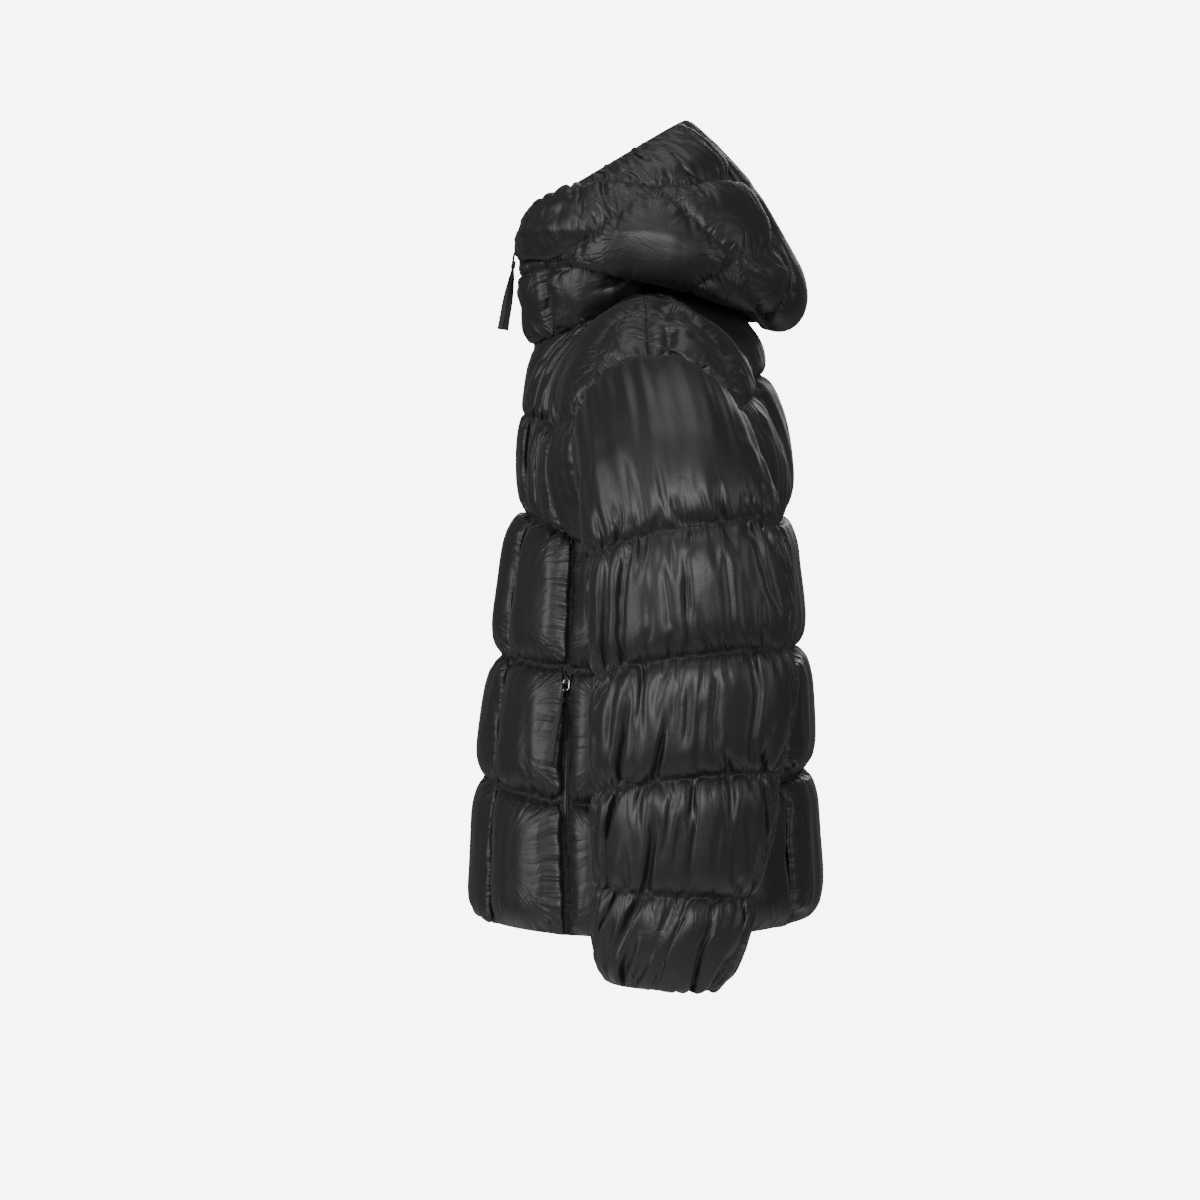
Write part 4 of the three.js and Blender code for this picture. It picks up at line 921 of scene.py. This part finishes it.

# %% [markdown]
# ## Nylon
# The shell is a black, tightly woven nylon with a soft shine. Black cloth shows almost only its highlights, so the
# colour matters less than the roughness and the small relief. The relief has three sizes: folds stretched along the
# cut, fine crinkles a few millimetres apart that such cloth keeps from being packed, and longer ones beside the seams.

# %% Shell cloth
def nylon():
    material = bpy.data.materials.new("nylon_shell")
    material.use_nodes = True
    nodes, links = material.node_tree.nodes, material.node_tree.links

    def node(kind, **inputs):
        made = nodes.new("ShaderNode" + kind)
        for name, value in inputs.items():
            socket = made.inputs[name.replace("_", " ")]
            if hasattr(value, "links"):
                links.new(value, socket)
            else:
                socket.default_value = value
        return made

    def maths(what, first, second):
        made = nodes.new("ShaderNodeMath")
        made.operation = what
        for socket, value in zip(made.inputs, (first, second)):
            if hasattr(value, "links"):
                links.new(value, socket)
            else:
                socket.default_value = value
        return made.outputs[0]

    def attribute(name, output):
        made = nodes.new("ShaderNodeAttribute")
        made.attribute_name = name
        return made.outputs[output]

    def creases(place, stretch, size, detail=2.0, bend=0.4):
        """Sharp folds: the distance of a noise from its middle value is a valley with a crisp floor."""
        moved = node("Mapping", Vector=place, Scale=stretch).outputs["Vector"]
        noise = node("TexNoise", Vector=moved, Scale=size, Detail=detail, Distortion=bend).outputs["Fac"]
        return maths("ABSOLUTE", maths("SUBTRACT", noise, 0.5), 0.0)

    def near_seam(reach):
        return maths("POWER", 2.718, maths("DIVIDE", maths("MULTIPLY", attribute("from_seam", "Fac"), -1.0), reach))

    away = node("CombineXYZ", Z=maths("MULTIPLY", attribute("from_seam", "Fac"), 0.16)).outputs["Vector"]
    along_seam = nodes.new("ShaderNodeVectorMath")
    links.new(attribute("seam_place", "Vector"), along_seam.inputs[0])
    links.new(away, along_seam.inputs[1])
    beside = attribute("beside_seam", "Fac")
    fine = maths("MULTIPLY", creases(along_seam.outputs[0], (1, 1, 1), 110, 2.0, 0.3), near_seam(0.012))
    coarse = maths("MULTIPLY", creases(along_seam.outputs[0], (1, 1, 1), 55, 1.5, 0.3), near_seam(0.022))
    gathers = maths("MULTIPLY", maths("ADD", maths("MULTIPLY", fine, 5.5), maths("MULTIPLY", coarse, 11.0)), beside)
    long_folds = creases(attribute("cut_place", "Vector"), (1, 0.22, 1), 21, 3.0, 0.6)
    crumple = creases(attribute("cut_place", "Vector"), (1, 0.5, 1), 60, 2.0, 0.8)
    height = maths("ADD", gathers, maths("MULTIPLY", long_folds, 2.6))
    height = maths("ADD", height, maths("MULTIPLY", crumple, 0.5))
    bump = node("Bump", Strength=1.0, Distance=0.001, Height=height)
    tone = node("TexNoise", Vector=attribute("cut_place", "Vector"), Scale=9.0).outputs["Fac"]
    ramp = node("ValToRGB", Fac=tone)
    ramp.color_ramp.elements[0].color = (0.0068, 0.0064, 0.0061, 1)
    ramp.color_ramp.elements[1].color = (0.0105, 0.0099, 0.0094, 1)
    shader = nodes["Principled BSDF"]
    links.new(ramp.outputs["Color"], shader.inputs["Base Color"])
    links.new(bump.outputs["Normal"], shader.inputs["Normal"])
    links.new(maths("ADD", maths("MULTIPLY", near_seam(0.0014), 0.3), 0.45), shader.inputs["Roughness"])
    shader.inputs["Specular IOR Level"].default_value = 0.55
    shader.inputs["Sheen Weight"].default_value = 0.05
    shader.inputs["Sheen Roughness"].default_value = 0.4
    return material


shell = nylon()
for obj in padding.values():
    obj.data.materials.append(shell)

# %% [markdown]
# ## Thread
# Every quilting line is a row of lockstitch, about three millimetres to a stitch. On the real coat it lies at the
# bottom of the groove and shows as a fine dotted line. A texture would slide and blur there, so each stitch is a
# short, thin prism that is laid from one point of the seam to the next.

# %% Lay stitches along a line
def stitch_prisms(path, outward, step=3.2, length=2.3, radius=0.28):
    """Corners and faces of one short prism for each stitch along a path, in mm."""
    run = np.concatenate([[0], np.cumsum(np.linalg.norm(np.diff(path, axis=0), axis=-1))])
    middles = np.arange(step, run[-1] - step, step)
    read = lambda at, table: np.stack([np.interp(at, run, table[:, k]) for k in range(3)], -1)
    out = unit(read(middles, outward))
    start = read(middles - length / 2, path) + out * 0.15
    end = read(middles + length / 2, path) + out * 0.15
    side = unit(np.cross(unit(end - start), out))
    up = np.cross(side, unit(end - start))
    ring = [(side, 1), (up, 1), (side, -1), (up, -1)]
    corners = np.stack([p + way * (sign * radius) for p in (start, end) for way, sign in ring], 1)
    k = 8 * np.arange(len(middles))[:, None]
    faces = np.concatenate([k + np.array(f) for f in ((0, 1, 5, 4), (1, 2, 6, 5), (2, 3, 7, 6), (3, 0, 4, 7),
                                                     (3, 2, 1, 0), (4, 5, 6, 7))])
    return corners.reshape(-1, 3), faces


def seam_paths(name):
    """The stitched lines inside a piece, read off its finished outside, with their outward directions."""
    piece = pieces[name]
    outside, sewn, out = piece["outside"], piece["sewn"], piece["out"]
    paths = []
    for axis in (0, 1):
        for k in range(1, sewn.shape[axis] - 1):
            line = np.take(sewn, k, axis)
            runs = np.flatnonzero(np.diff(np.concatenate([[0], line.astype(int), [0]])))
            for a, b in zip(runs[::2], runs[1::2]):
                if b - a < 8:
                    continue
                fine = np.take(outside, 2 * k, axis)[2 * a:2 * b - 1]
                paths.append((fine, np.repeat(np.take(out, k, axis)[a:b], 2, 0)[:len(fine)]))
    return paths


def plain_object(name, points, faces, body, slot, material):
    mesh = bpy.data.meshes.new(name)
    mesh.from_pydata((np.asarray(points) * MM).tolist(), [], [list(map(int, f)) for f in faces])
    mesh.materials.append(material)
    obj = bpy.data.objects.new(name, mesh)
    bpy.context.scene.collection.objects.link(obj)
    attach(obj, body)
    return obj


def simple_material(name, colour, roughness, metallic=0.0, grain=0.0, grain_size=900):
    """Thread, tape, metal and plastic: one colour with a fine grain in its relief and a slight change of tone."""
    material = bpy.data.materials.new(name)
    material.use_nodes = True
    nodes, links = material.node_tree.nodes, material.node_tree.links
    shader = nodes["Principled BSDF"]
    shader.inputs["Metallic"].default_value = metallic
    where, noise, ramp = (nodes.new("ShaderNode" + kind) for kind in ("TexCoord", "TexNoise", "ValToRGB"))
    noise.inputs["Scale"].default_value = grain_size
    noise.inputs["Detail"].default_value = 3
    links.new(where.outputs["Object"], noise.inputs["Vector"])
    ramp.color_ramp.elements[0].color = (*[c * 0.75 for c in colour], 1)
    ramp.color_ramp.elements[1].color = (*[min(1, c * 1.25) for c in colour], 1)
    links.new(noise.outputs["Fac"], ramp.inputs["Fac"])
    links.new(ramp.outputs["Color"], shader.inputs["Base Color"])
    shader.inputs["Roughness"].default_value = roughness
    if grain:
        bump = nodes.new("ShaderNodeBump")
        bump.inputs["Distance"].default_value = grain
        links.new(noise.outputs["Fac"], bump.inputs["Height"])
        links.new(bump.outputs["Normal"], shader.inputs["Normal"])
    return material


thread = simple_material("thread", (0.006, 0.006, 0.006), 0.75)
for name in pieces:
    points, faces, count = [], [], 0
    for path, outward in seam_paths(name):
        some, more = stitch_prisms(path, outward)
        points.append(some)
        faces.append(more + count)
        count += len(some)
    if points:
        plain_object("stitches_" + name, np.concatenate(points), np.concatenate(faces), "garment", "shell", thread)
        print("stitches on", name + ":", count // 8)

# %% [markdown]
# ## The front zip
# A moulded zip is a woven tape on each side with a row of teeth that lock into the other row. Below the slider the
# two rows are closed, above it they part towards the top of the hood. The tapes are swept along the centre line, and
# the teeth are single tapered blocks, set in turn on the left and on the right.

# %% Sweep a section along a line
def swept(rings, closed_section=True, caps=True):
    """Points and faces of a skin over rings of points, an array of (rings, points in a ring, 3)."""
    count, around = rings.shape[:2]
    k = np.arange(count * around).reshape(count, around)
    nxt = np.roll(k, -1, 1) if closed_section else k
    faces = np.stack([k[:-1], nxt[:-1], nxt[1:], k[1:]], -1).reshape(-1, 4).tolist()
    if caps:
        faces += [k[0][::-1].tolist(), k[-1].tolist()]
    return rings.reshape(-1, 3), faces


def joined(parts):
    """Several (points, faces) as one."""
    points, faces, count = [], [], 0
    for some, more in parts:
        points.append(np.asarray(some, float))
        faces += [[int(i) + count for i in face] for face in more]
        count += len(some)
    return np.concatenate(points), faces


def turned_out(obj, sharp=35):
    """Makes the faces of a closed piece point out, and shades them smooth where they meet gently."""
    body = bmesh.new()
    body.from_mesh(obj.data)
    bmesh.ops.recalc_face_normals(body, faces=body.faces)
    for edge in body.edges:
        edge.smooth = not (len(edge.link_faces) == 2 and edge.calc_face_angle(0) > math.radians(sharp))
    for face in body.faces:
        face.smooth = True
    body.to_mesh(obj.data)
    body.free()
    return obj


def blocks(centres, across, up, out, half, taper=0.75):
    """Small tapered blocks, half = (half across, half up, height), standing on their centres."""
    corners = []
    for lift, size in ((0.0, 1.0), (half[2], taper)):
        for x, y in ((-1, -1), (1, -1), (1, 1), (-1, 1)):
            corners.append(centres + across * (x * half[0] * size) + up * (y * half[1] * size) + out * lift)
    points = np.stack(corners, 1)
    shape = [(3, 2, 1, 0), (4, 5, 6, 7), (0, 1, 5, 4), (1, 2, 6, 5), (2, 3, 7, 6), (3, 0, 4, 7)]
    faces = [[8 * i + j for j in face] for i in range(len(centres)) for face in shape]
    return points.reshape(-1, 3), faces


# %% Front zip
tape = simple_material("zip_tape", (0.010, 0.010, 0.010), 0.75, grain=0.0003, grain_size=1500)
teeth_plastic = simple_material("zip_teeth", (0.012, 0.012, 0.012), 0.32, grain=0.00005, grain_size=600)
rows, heights, levels = np.linspace(0, 5, 126), np.linspace(0.2, 1, 9), np.linspace(0.5, 3.8, 40)
front_line = np.concatenate([torso_base("front", 0 * rows, rows), collar_base(0 * heights, heights),
                             hood_base(0 * levels, levels)])
front_line[:, 0] = 0
front_open = np.concatenate([0 * rows, 0 * heights, np.clip((levels - 2.1) / 1.7, 0, 1)])
front_run = np.concatenate([[0], np.cumsum(np.linalg.norm(np.diff(front_line, axis=0), axis=-1))])


def on_front(at):
    """Place, direction up, direction out and opening of the front zip at a distance from the hem."""
    read = lambda where: np.stack([np.interp(where, front_run, front_line[:, k]) for k in range(3)], -1)
    up = unit(read(np.clip(at + 5, 0, front_run[-1])) - read(np.clip(at - 5, 0, front_run[-1])))
    return read(at), up, xyz(0, -up[..., 2], up[..., 1]), np.interp(at, front_run, front_open)


ends = {}
for side_name, hand in (("left", 1), ("right", -1)):
    at = np.arange(0, front_run[-1], 4.0)
    p, up, out, opened = on_front(at)
    inner_edge = 2.8 * opened - 0.15
    section = [(0, -2.2), (0.35, -1.0), (0.5, -0.75), (0.7, -0.8), (1, -1.6), (1, -2.2)]
    rings = np.stack([p + xyz(hand * mix(inner_edge, 9.4, share), 0, 0) + out * lift for share, lift in section], 1)
    ribbon = plain_object("front_zip_tape_" + side_name, *swept(rings), "garment", "zip_tape", tape)
    turned_out(ribbon)
    at = np.arange(16 + (1.3 if hand > 0 else 0), front_run[-1] - 2, 2.6)
    p, up, out, opened = on_front(at)
    centres = p + xyz(hand * (1.05 + 2.7 * opened), 0, 0) - out * 1.0
    teeth = plain_object("front_zip_teeth_" + side_name, *blocks(centres, xyz(1, 0, 0), up, out, (1.35, 0.8, 1.8)),
                         "garment", "zip_tape", teeth_plastic)
    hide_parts("front_zip_" + side_name)
    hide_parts("front_zip_" + side_name)
    ends[side_name] = len(at)
p, up, out, _ = on_front(np.array([7.0]))
stop = plain_object("front_zip_end", *blocks(p - out * 1.2, xyz(1, 0, 0), up, out, (4.6, 6.5, 3.0), 0.85), "garment",
                    "zip_tape", teeth_plastic)
print("front zip", round(front_run[-1]), "mm long with", ends, "teeth")

# %% [markdown]
# ## Pocket zips
# These are finer coil zips that lie in the flat strip between two columns of quilting. The coil is a close row of
# short ribs.

# %% Pocket zips
pocket_v = np.linspace(0.6545, 1.9045, 90)
zip_line = torso_base("front", 0 * pocket_v + POCKET, pocket_v)
zip_up = unit(np.gradient(zip_line, axis=0))
zip_across = unit(torso_base("front", 0 * pocket_v + POCKET + 4 / 300, pocket_v)
                  - torso_base("front", 0 * pocket_v + POCKET - 4 / 300, pocket_v))
zip_out = unit(np.cross(zip_across, zip_up))
zip_across = np.cross(zip_up, zip_out)
for side_name, hand in (("left", 1), ("right", -1)):
    mirror = np.array([hand, 1, 1])
    section = [(-1, 0.3), (-0.95, 0.75), (-0.25, 0.9), (0.25, 0.9), (0.95, 0.75), (1, 0.3)]
    rings = np.stack([zip_line + zip_across * (3 * x) + zip_out * lift for x, lift in section], 1)
    ribbon = turned_out(plain_object("pocket_zip_tape_" + side_name, *swept(rings * mirror), "garment", "zip_tape", tape))
    run = np.concatenate([[0], np.cumsum(np.linalg.norm(np.diff(zip_line, axis=0), axis=-1))])
    at = np.arange(1, run[-1] - 1, 1.5)
    read = lambda table: np.stack([np.interp(at, run, table[:, k]) for k in range(3)], -1)
    points, faces = blocks(read(zip_line) + read(zip_out) * 0.8, read(zip_across), read(zip_up), read(zip_out),
                           (1.5, 0.5, 1.1), 0.7)
    coil = turned_out(plain_object("pocket_zip_coil_" + side_name, points * mirror, faces, "garment", "zip_tape",
                                   teeth_plastic))
    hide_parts("pocket_zip_" + side_name)
    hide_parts("pocket_zip_" + side_name)
print("pocket zip", round(run[-1]), "mm long with", len(at), "ribs")

# %% [markdown]
# ## Sliders
# The sliders are cast metal with soft edges. Their solids have the right shape but knife edges, and an edge without a
# small radius never catches light. A Bevel modifier on a copy of each solid rounds them.

# %% Sliders with rounded edges
metal = simple_material("brushed_metal", (0.55, 0.56, 0.57), 0.28, metallic=1.0, grain=0.00004, grain_size=700)


dark_metal = simple_material("dark_metal", (0.02, 0.02, 0.021), 0.35, metallic=1.0, grain=0.00004, grain_size=700)


def rounded_copy(node, width, material, body="garment"):
    mesh = frame["nodes"][node].data.copy()
    mesh.materials.clear()
    work = bmesh.new()
    work.from_mesh(mesh)
    bmesh.ops.remove_doubles(work, verts=work.verts, dist=1e-5)
    bmesh.ops.dissolve_limit(work, angle_limit=math.radians(1), verts=work.verts, edges=work.edges)
    work.to_mesh(mesh)
    work.free()
    copy = bpy.data.objects.new(node + "_rounded", mesh)
    bpy.context.scene.collection.objects.link(copy)
    bevel = copy.modifiers.new("edges", "BEVEL")
    bevel.width, bevel.segments, bevel.limit_method = width, 3, "ANGLE"
    done = bpy.data.meshes.new_from_object(copy.evaluated_get(bpy.context.evaluated_depsgraph_get()))
    copy.modifiers.clear()
    copy.data = done
    done.materials.clear()
    done.materials.append(material)
    turned_out(copy, 50)
    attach(copy, body)
    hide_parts(node)
    return copy


for node in ("front_slider", "pocket_slider_left", "pocket_slider_right"):
    copy = rounded_copy(node, 0.00045, metal if node == "front_slider" else dark_metal)
    print(node, len(copy.data.polygons), "faces")
frame["nodes"]["neck_zip"].data.materials.clear()
frame["nodes"]["neck_zip"].data.materials.append(tape)

# %% [markdown]
# ## Pulls
# A pull is what the hand finds: a bent wire ring in the slider's bridge, a short cord, a knot and two ends of flat
# ribbon. Each swings on its slider, so it rides on its own body, and it is made round its pivot, which the joint
# gives: x runs along the pivot, y is up the pull. The ribbons twist a little, so that they never show as lines.

# %% Bend tubes and ribbons
def tube(path, radius, around=10, closed=False):
    """A round wire along a path."""
    path = np.asarray(path, float)
    ahead = np.roll(path, -1, 0) - np.roll(path, 1, 0)
    if not closed:
        ahead[0], ahead[-1] = path[1] - path[0], path[-1] - path[-2]
    ahead = unit(ahead)
    side = unit(np.cross(ahead[0], [0.3, 0.2, 1.0]))
    rings = []
    for point, way in zip(path, ahead):
        side = unit(side - way * (side @ way))
        up = np.cross(way, side)
        turns = np.linspace(0, 2 * np.pi, around, endpoint=False)
        rings.append(point + radius * (np.outer(np.cos(turns), side) + np.outer(np.sin(turns), up)))
    rings = np.array(rings)
    return swept(np.concatenate([rings, rings[:1]]) if closed else rings, caps=not closed)


def wire_ring(half_width=3.65, top=0.0, bottom=-10.7, corner=2.2):
    turns = np.linspace(0, np.pi / 2, 6)
    path = []
    for cx, cy, start in ((half_width - corner, top - corner, 0), (corner - half_width, top - corner, 90),
                          (corner - half_width, bottom + corner, 180), (half_width - corner, bottom + corner, 270)):
        path += [(cx + corner * math.cos(t + math.radians(start)), cy + corner * math.sin(t + math.radians(start)), 0)
                 for t in turns]
    return tube(path, 0.65, closed=True)


def knot(centre_y, size, off):
    t = np.linspace(0, 2 * np.pi, 60, endpoint=False)
    loop = np.stack([(np.sin(t) + 2 * np.sin(2 * t)) / 3 * size[0], (np.cos(t) - 2 * np.cos(2 * t)) / 3 * size[1],
                     -np.sin(3 * t) * size[2]], -1) + [0, centre_y, off]
    return tube(loop, 1.25, 10, closed=True)


def ribbon_tail(start_y, length, width, spread, twist, bow, off, seed):
    t = np.linspace(0, 1, 30)
    wander = np.random.default_rng(seed).normal(size=3) * 0.4
    turn = np.radians(spread)
    y = start_y - length * t * np.cos(turn)
    z = off + length * t * np.sin(turn) + bow * np.sin(np.pi * t) + wander[0] * np.sin(3 * np.pi * t)
    x = wander[1] * np.sin(2 * np.pi * t)
    angle = np.radians(twist) * (0.6 + 0.4 * ease(t * 1.3))
    across = np.stack([np.cos(angle), 0 * t, np.sin(angle)], -1)
    flat_way = np.stack([-np.sin(angle), 0 * t, np.cos(angle)], -1)
    half = width / 2 * mix(0.45, 1, ease(t * 5))
    middle = np.stack([x, y, z], -1)
    section = [(-1, -0.35), (-1, 0.35), (-0.4, 0.5), (0.4, 0.5), (1, 0.35), (1, -0.35), (0.4, -0.5), (-0.4, -0.5)]
    rings = np.stack([middle + across * (half * a)[:, None] + flat_way * b for a, b in section], 1)
    return swept(rings)


# %% Hang the pulls
ribbon_cloth = simple_material("pull_ribbon", (0.011, 0.011, 0.011), 0.6, grain=0.0004, grain_size=1300)
joints = {joint["child"]: joint for joint in frame["joints"]}


def pull(body, lean, width, length, spreads, off=0.0, mirrored=False):
    joint = joints[body]
    flip = np.array([-1, 1, 1]) if mirrored else 1
    pivot = np.array(joint["pos_m"]) * 1000 * flip
    across = -unit(np.array(joint["axis"], float)) * (np.array([1, -1, -1]) if mirrored else 1)
    down = unit(np.array([0, 0, -1]) + across * across[2])
    away = unit(np.cross(across, -down))
    down = down * math.cos(math.radians(lean)) + away * math.sin(math.radians(lean))
    basis = np.stack([across, -down, np.cross(across, -down)])
    place = lambda part: ((part[0] @ basis + pivot) * flip, part[1])
    parts = {
        "ring": (wire_ring(), metal, "slider_metal"),
        "cord": (tube([(0, -9.6, 0), (0.2, -12, 1.0 + 0.3 * off), (0, -15, 1.3 + 0.6 * off), (0, -18, 0.9 + 0.85 * off),
                       (0, -20.5, 0.3 + off)], 1.2), ribbon_cloth,
                 "pull_ribbon"),
        "knot": (knot(-23.2, (2.3, 4.0, 1.2), off), ribbon_cloth, "pull_ribbon"),
    }
    for k, (spread, twist, bow) in enumerate(spreads):
        parts["tail_%d" % (k + 1)] = (ribbon_tail(-26, length, width, spread, twist, bow, off, 50 + k), ribbon_cloth,
                                      "pull_ribbon")
    for name, (part, material, slot) in parts.items():
        piece = plain_object(body + "_" + name, *place(part), body, slot, material)
        turned_out(piece, 60)
        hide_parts(body)
    print(body, "hangs from", np.round(pivot, 1))


pull("front_pull", 10, 7, 68, [(-3.0, 78, -0.6), (2.0, -50, 0.6)])
pull("pocket_pull_left", 14, 6.5, 62, [(4.4, 24, 2.0), (6.2, -30, 2.4)], off=4.0)
pull("pocket_pull_right", 14, 6.5, 62, [(4.4, 24, 2.0), (6.2, -30, 2.4)], off=4.0, mirrored=True)

# %% [markdown]
# ## The ends of the hood's zip
# The hood is zipped to the collar seam. Only the two ends of that zip show, as small dark beads beside the collar on
# each side.

# %% Beads at the ends of the hood's zip
def bead(place, size):
    turns, tilts = np.linspace(0, 2 * np.pi, 12, endpoint=False), np.linspace(0.25, np.pi - 0.25, 7)
    rings = np.stack([np.stack([np.sin(a) * np.cos(turns) * size[0], np.sin(a) * np.sin(turns) * size[1],
                                np.cos(a) * size[2] + 0 * turns], -1) for a in tilts])
    return swept(rings + np.asarray(place, float))


def outermost(y, z):
    """The outside point, in mm, that the camera meets first in the direction of (y, z) at the middle plane."""
    best = None
    for piece in pieces.values():
        points = piece["outside"].reshape(-1, 3)
        shrink = 1 - points[:, 0] / 4500
        aim = np.stack([-48.2 + (y + 48.2) * shrink, -331.7 + (z + 331.7) * shrink], -1)
        hit = points[np.linalg.norm(points[:, 1:] - aim, axis=-1) < 2.5]
        if len(hit) and (best is None or hit[:, 0].max() > best[0]):
            best = hit[hit[:, 0].argmax()]
    return best


places = [(outermost(-71.7, -37.9), (2.6, 2.2, 2.2)), (outermost(-73.1, -45.3), (2.6, 2.1, 2.6)),
          (outermost(-66.2, -40.4), (2.6, 3.0, 2.0))]
for side_name, hand in (("left", 1), ("right", -1)):
    beads = [bead((place + [0.8, 0, 0]) * [hand, 1, 1], size) for place, size in places]
    obj = plain_object("hood_zip_end_" + side_name, *joined(beads), "garment", "zip_tape", teeth_plastic)
    turned_out(obj, 80)
print("beads stand at", [np.round(place).tolist() for place, size in places])

# %% [markdown]
# ## Floor and light
# The photograph has a white background and soft light from large panels at the camera's sides and above. Black cloth
# shows only what it reflects: if the whole room were white, the coat would turn grey. A studio keeps the room around
# the coat dim and only the background bright, and so does this world: it is white where it is looked at and dim where
# it lights. The floor is a plain pale round that melts into the background.

# %% Floor, lights and world
def softbox(name, place, aim, size, power):
    light = bpy.data.objects.new(name, bpy.data.lights.new(name, "AREA"))
    light.data.shape = "RECTANGLE"
    light.data.size, light.data.size_y = size
    light.data.energy = power
    light.data.color = (1.0, 0.982, 0.965)
    light.location = place
    light.rotation_euler = (Vector(aim) - Vector(place)).to_track_quat("-Z", "Y").to_euler()
    bpy.context.scene.collection.objects.link(light)
    return light


softbox("key_panel", (5.2, -0.5, 1.3), (0, 0, -0.35), (2.4, 1.8), 170)
softbox("front_panel", (1.6, -3.4, 0.6), (0, 0, -0.35), (1.2, 2.6), 70)
softbox("back_panel", (1.6, 3.4, 0.6), (0, 0, -0.35), (1.2, 2.6), 28)
softbox("top_panel", (0.6, 0.0, 2.8), (0, 0, -0.3), (2.4, 2.6), 36)
softbox("far_panel", (-4.2, 0.5, 1.2), (0, 0, -0.3), (2.4, 2.0), 50)

world = bpy.data.worlds.new("studio")
world.use_nodes = True
nodes, links = world.node_tree.nodes, world.node_tree.links
dim = nodes["Background"]
dim.inputs["Color"].default_value = (1, 1, 1, 1)
dim.inputs["Strength"].default_value = 0.10
bright = nodes.new("ShaderNodeBackground")
bright.inputs["Strength"].default_value = 9.0
looked_at, blend = nodes.new("ShaderNodeLightPath"), nodes.new("ShaderNodeMixShader")
links.new(looked_at.outputs["Is Camera Ray"], blend.inputs["Fac"])
links.new(dim.outputs["Background"], blend.inputs[1])
links.new(bright.outputs["Background"], blend.inputs[2])
links.new(blend.outputs["Shader"], nodes["World Output"].inputs["Surface"])
bpy.context.scene.world = world


def pale_floor():
    material = bpy.data.materials.new("pale_floor")
    material.use_nodes = True
    nodes, links = material.node_tree.nodes, material.node_tree.links
    shader, output = nodes["Principled BSDF"], nodes["Material Output"]
    shader.inputs["Base Color"].default_value = (0.92, 0.92, 0.92, 1)
    shader.inputs["Roughness"].default_value = 0.9
    where, away, fade = (nodes.new("ShaderNode" + kind) for kind in ("TexCoord", "VectorMath", "MapRange"))
    away.operation = "LENGTH"
    links.new(where.outputs["Object"], away.inputs[0])
    links.new(away.outputs["Value"], fade.inputs["Value"])
    fade.interpolation_type = "SMOOTHSTEP"
    fade.inputs["From Min"].default_value, fade.inputs["From Max"].default_value = 0.9, 2.1
    clear, blend = nodes.new("ShaderNodeBsdfTransparent"), nodes.new("ShaderNodeMixShader")
    links.new(fade.outputs["Result"], blend.inputs["Fac"])
    links.new(shader.outputs["BSDF"], blend.inputs[1])
    links.new(clear.outputs["BSDF"], blend.inputs[2])
    links.new(blend.outputs["Shader"], output.inputs["Surface"])
    return material


floor_mesh = bpy.data.meshes.new("floor")
rim = [(2.2 * math.cos(a), 2.2 * math.sin(a), 0) for a in np.linspace(0, 2 * math.pi, 96, endpoint=False)]
floor_mesh.from_pydata(rim, [], [list(range(96))])
floor_mesh.materials.append(pale_floor())
floor = bpy.data.objects.new("floor", floor_mesh)
floor.location.z = -1.25
bpy.context.scene.collection.objects.link(floor)
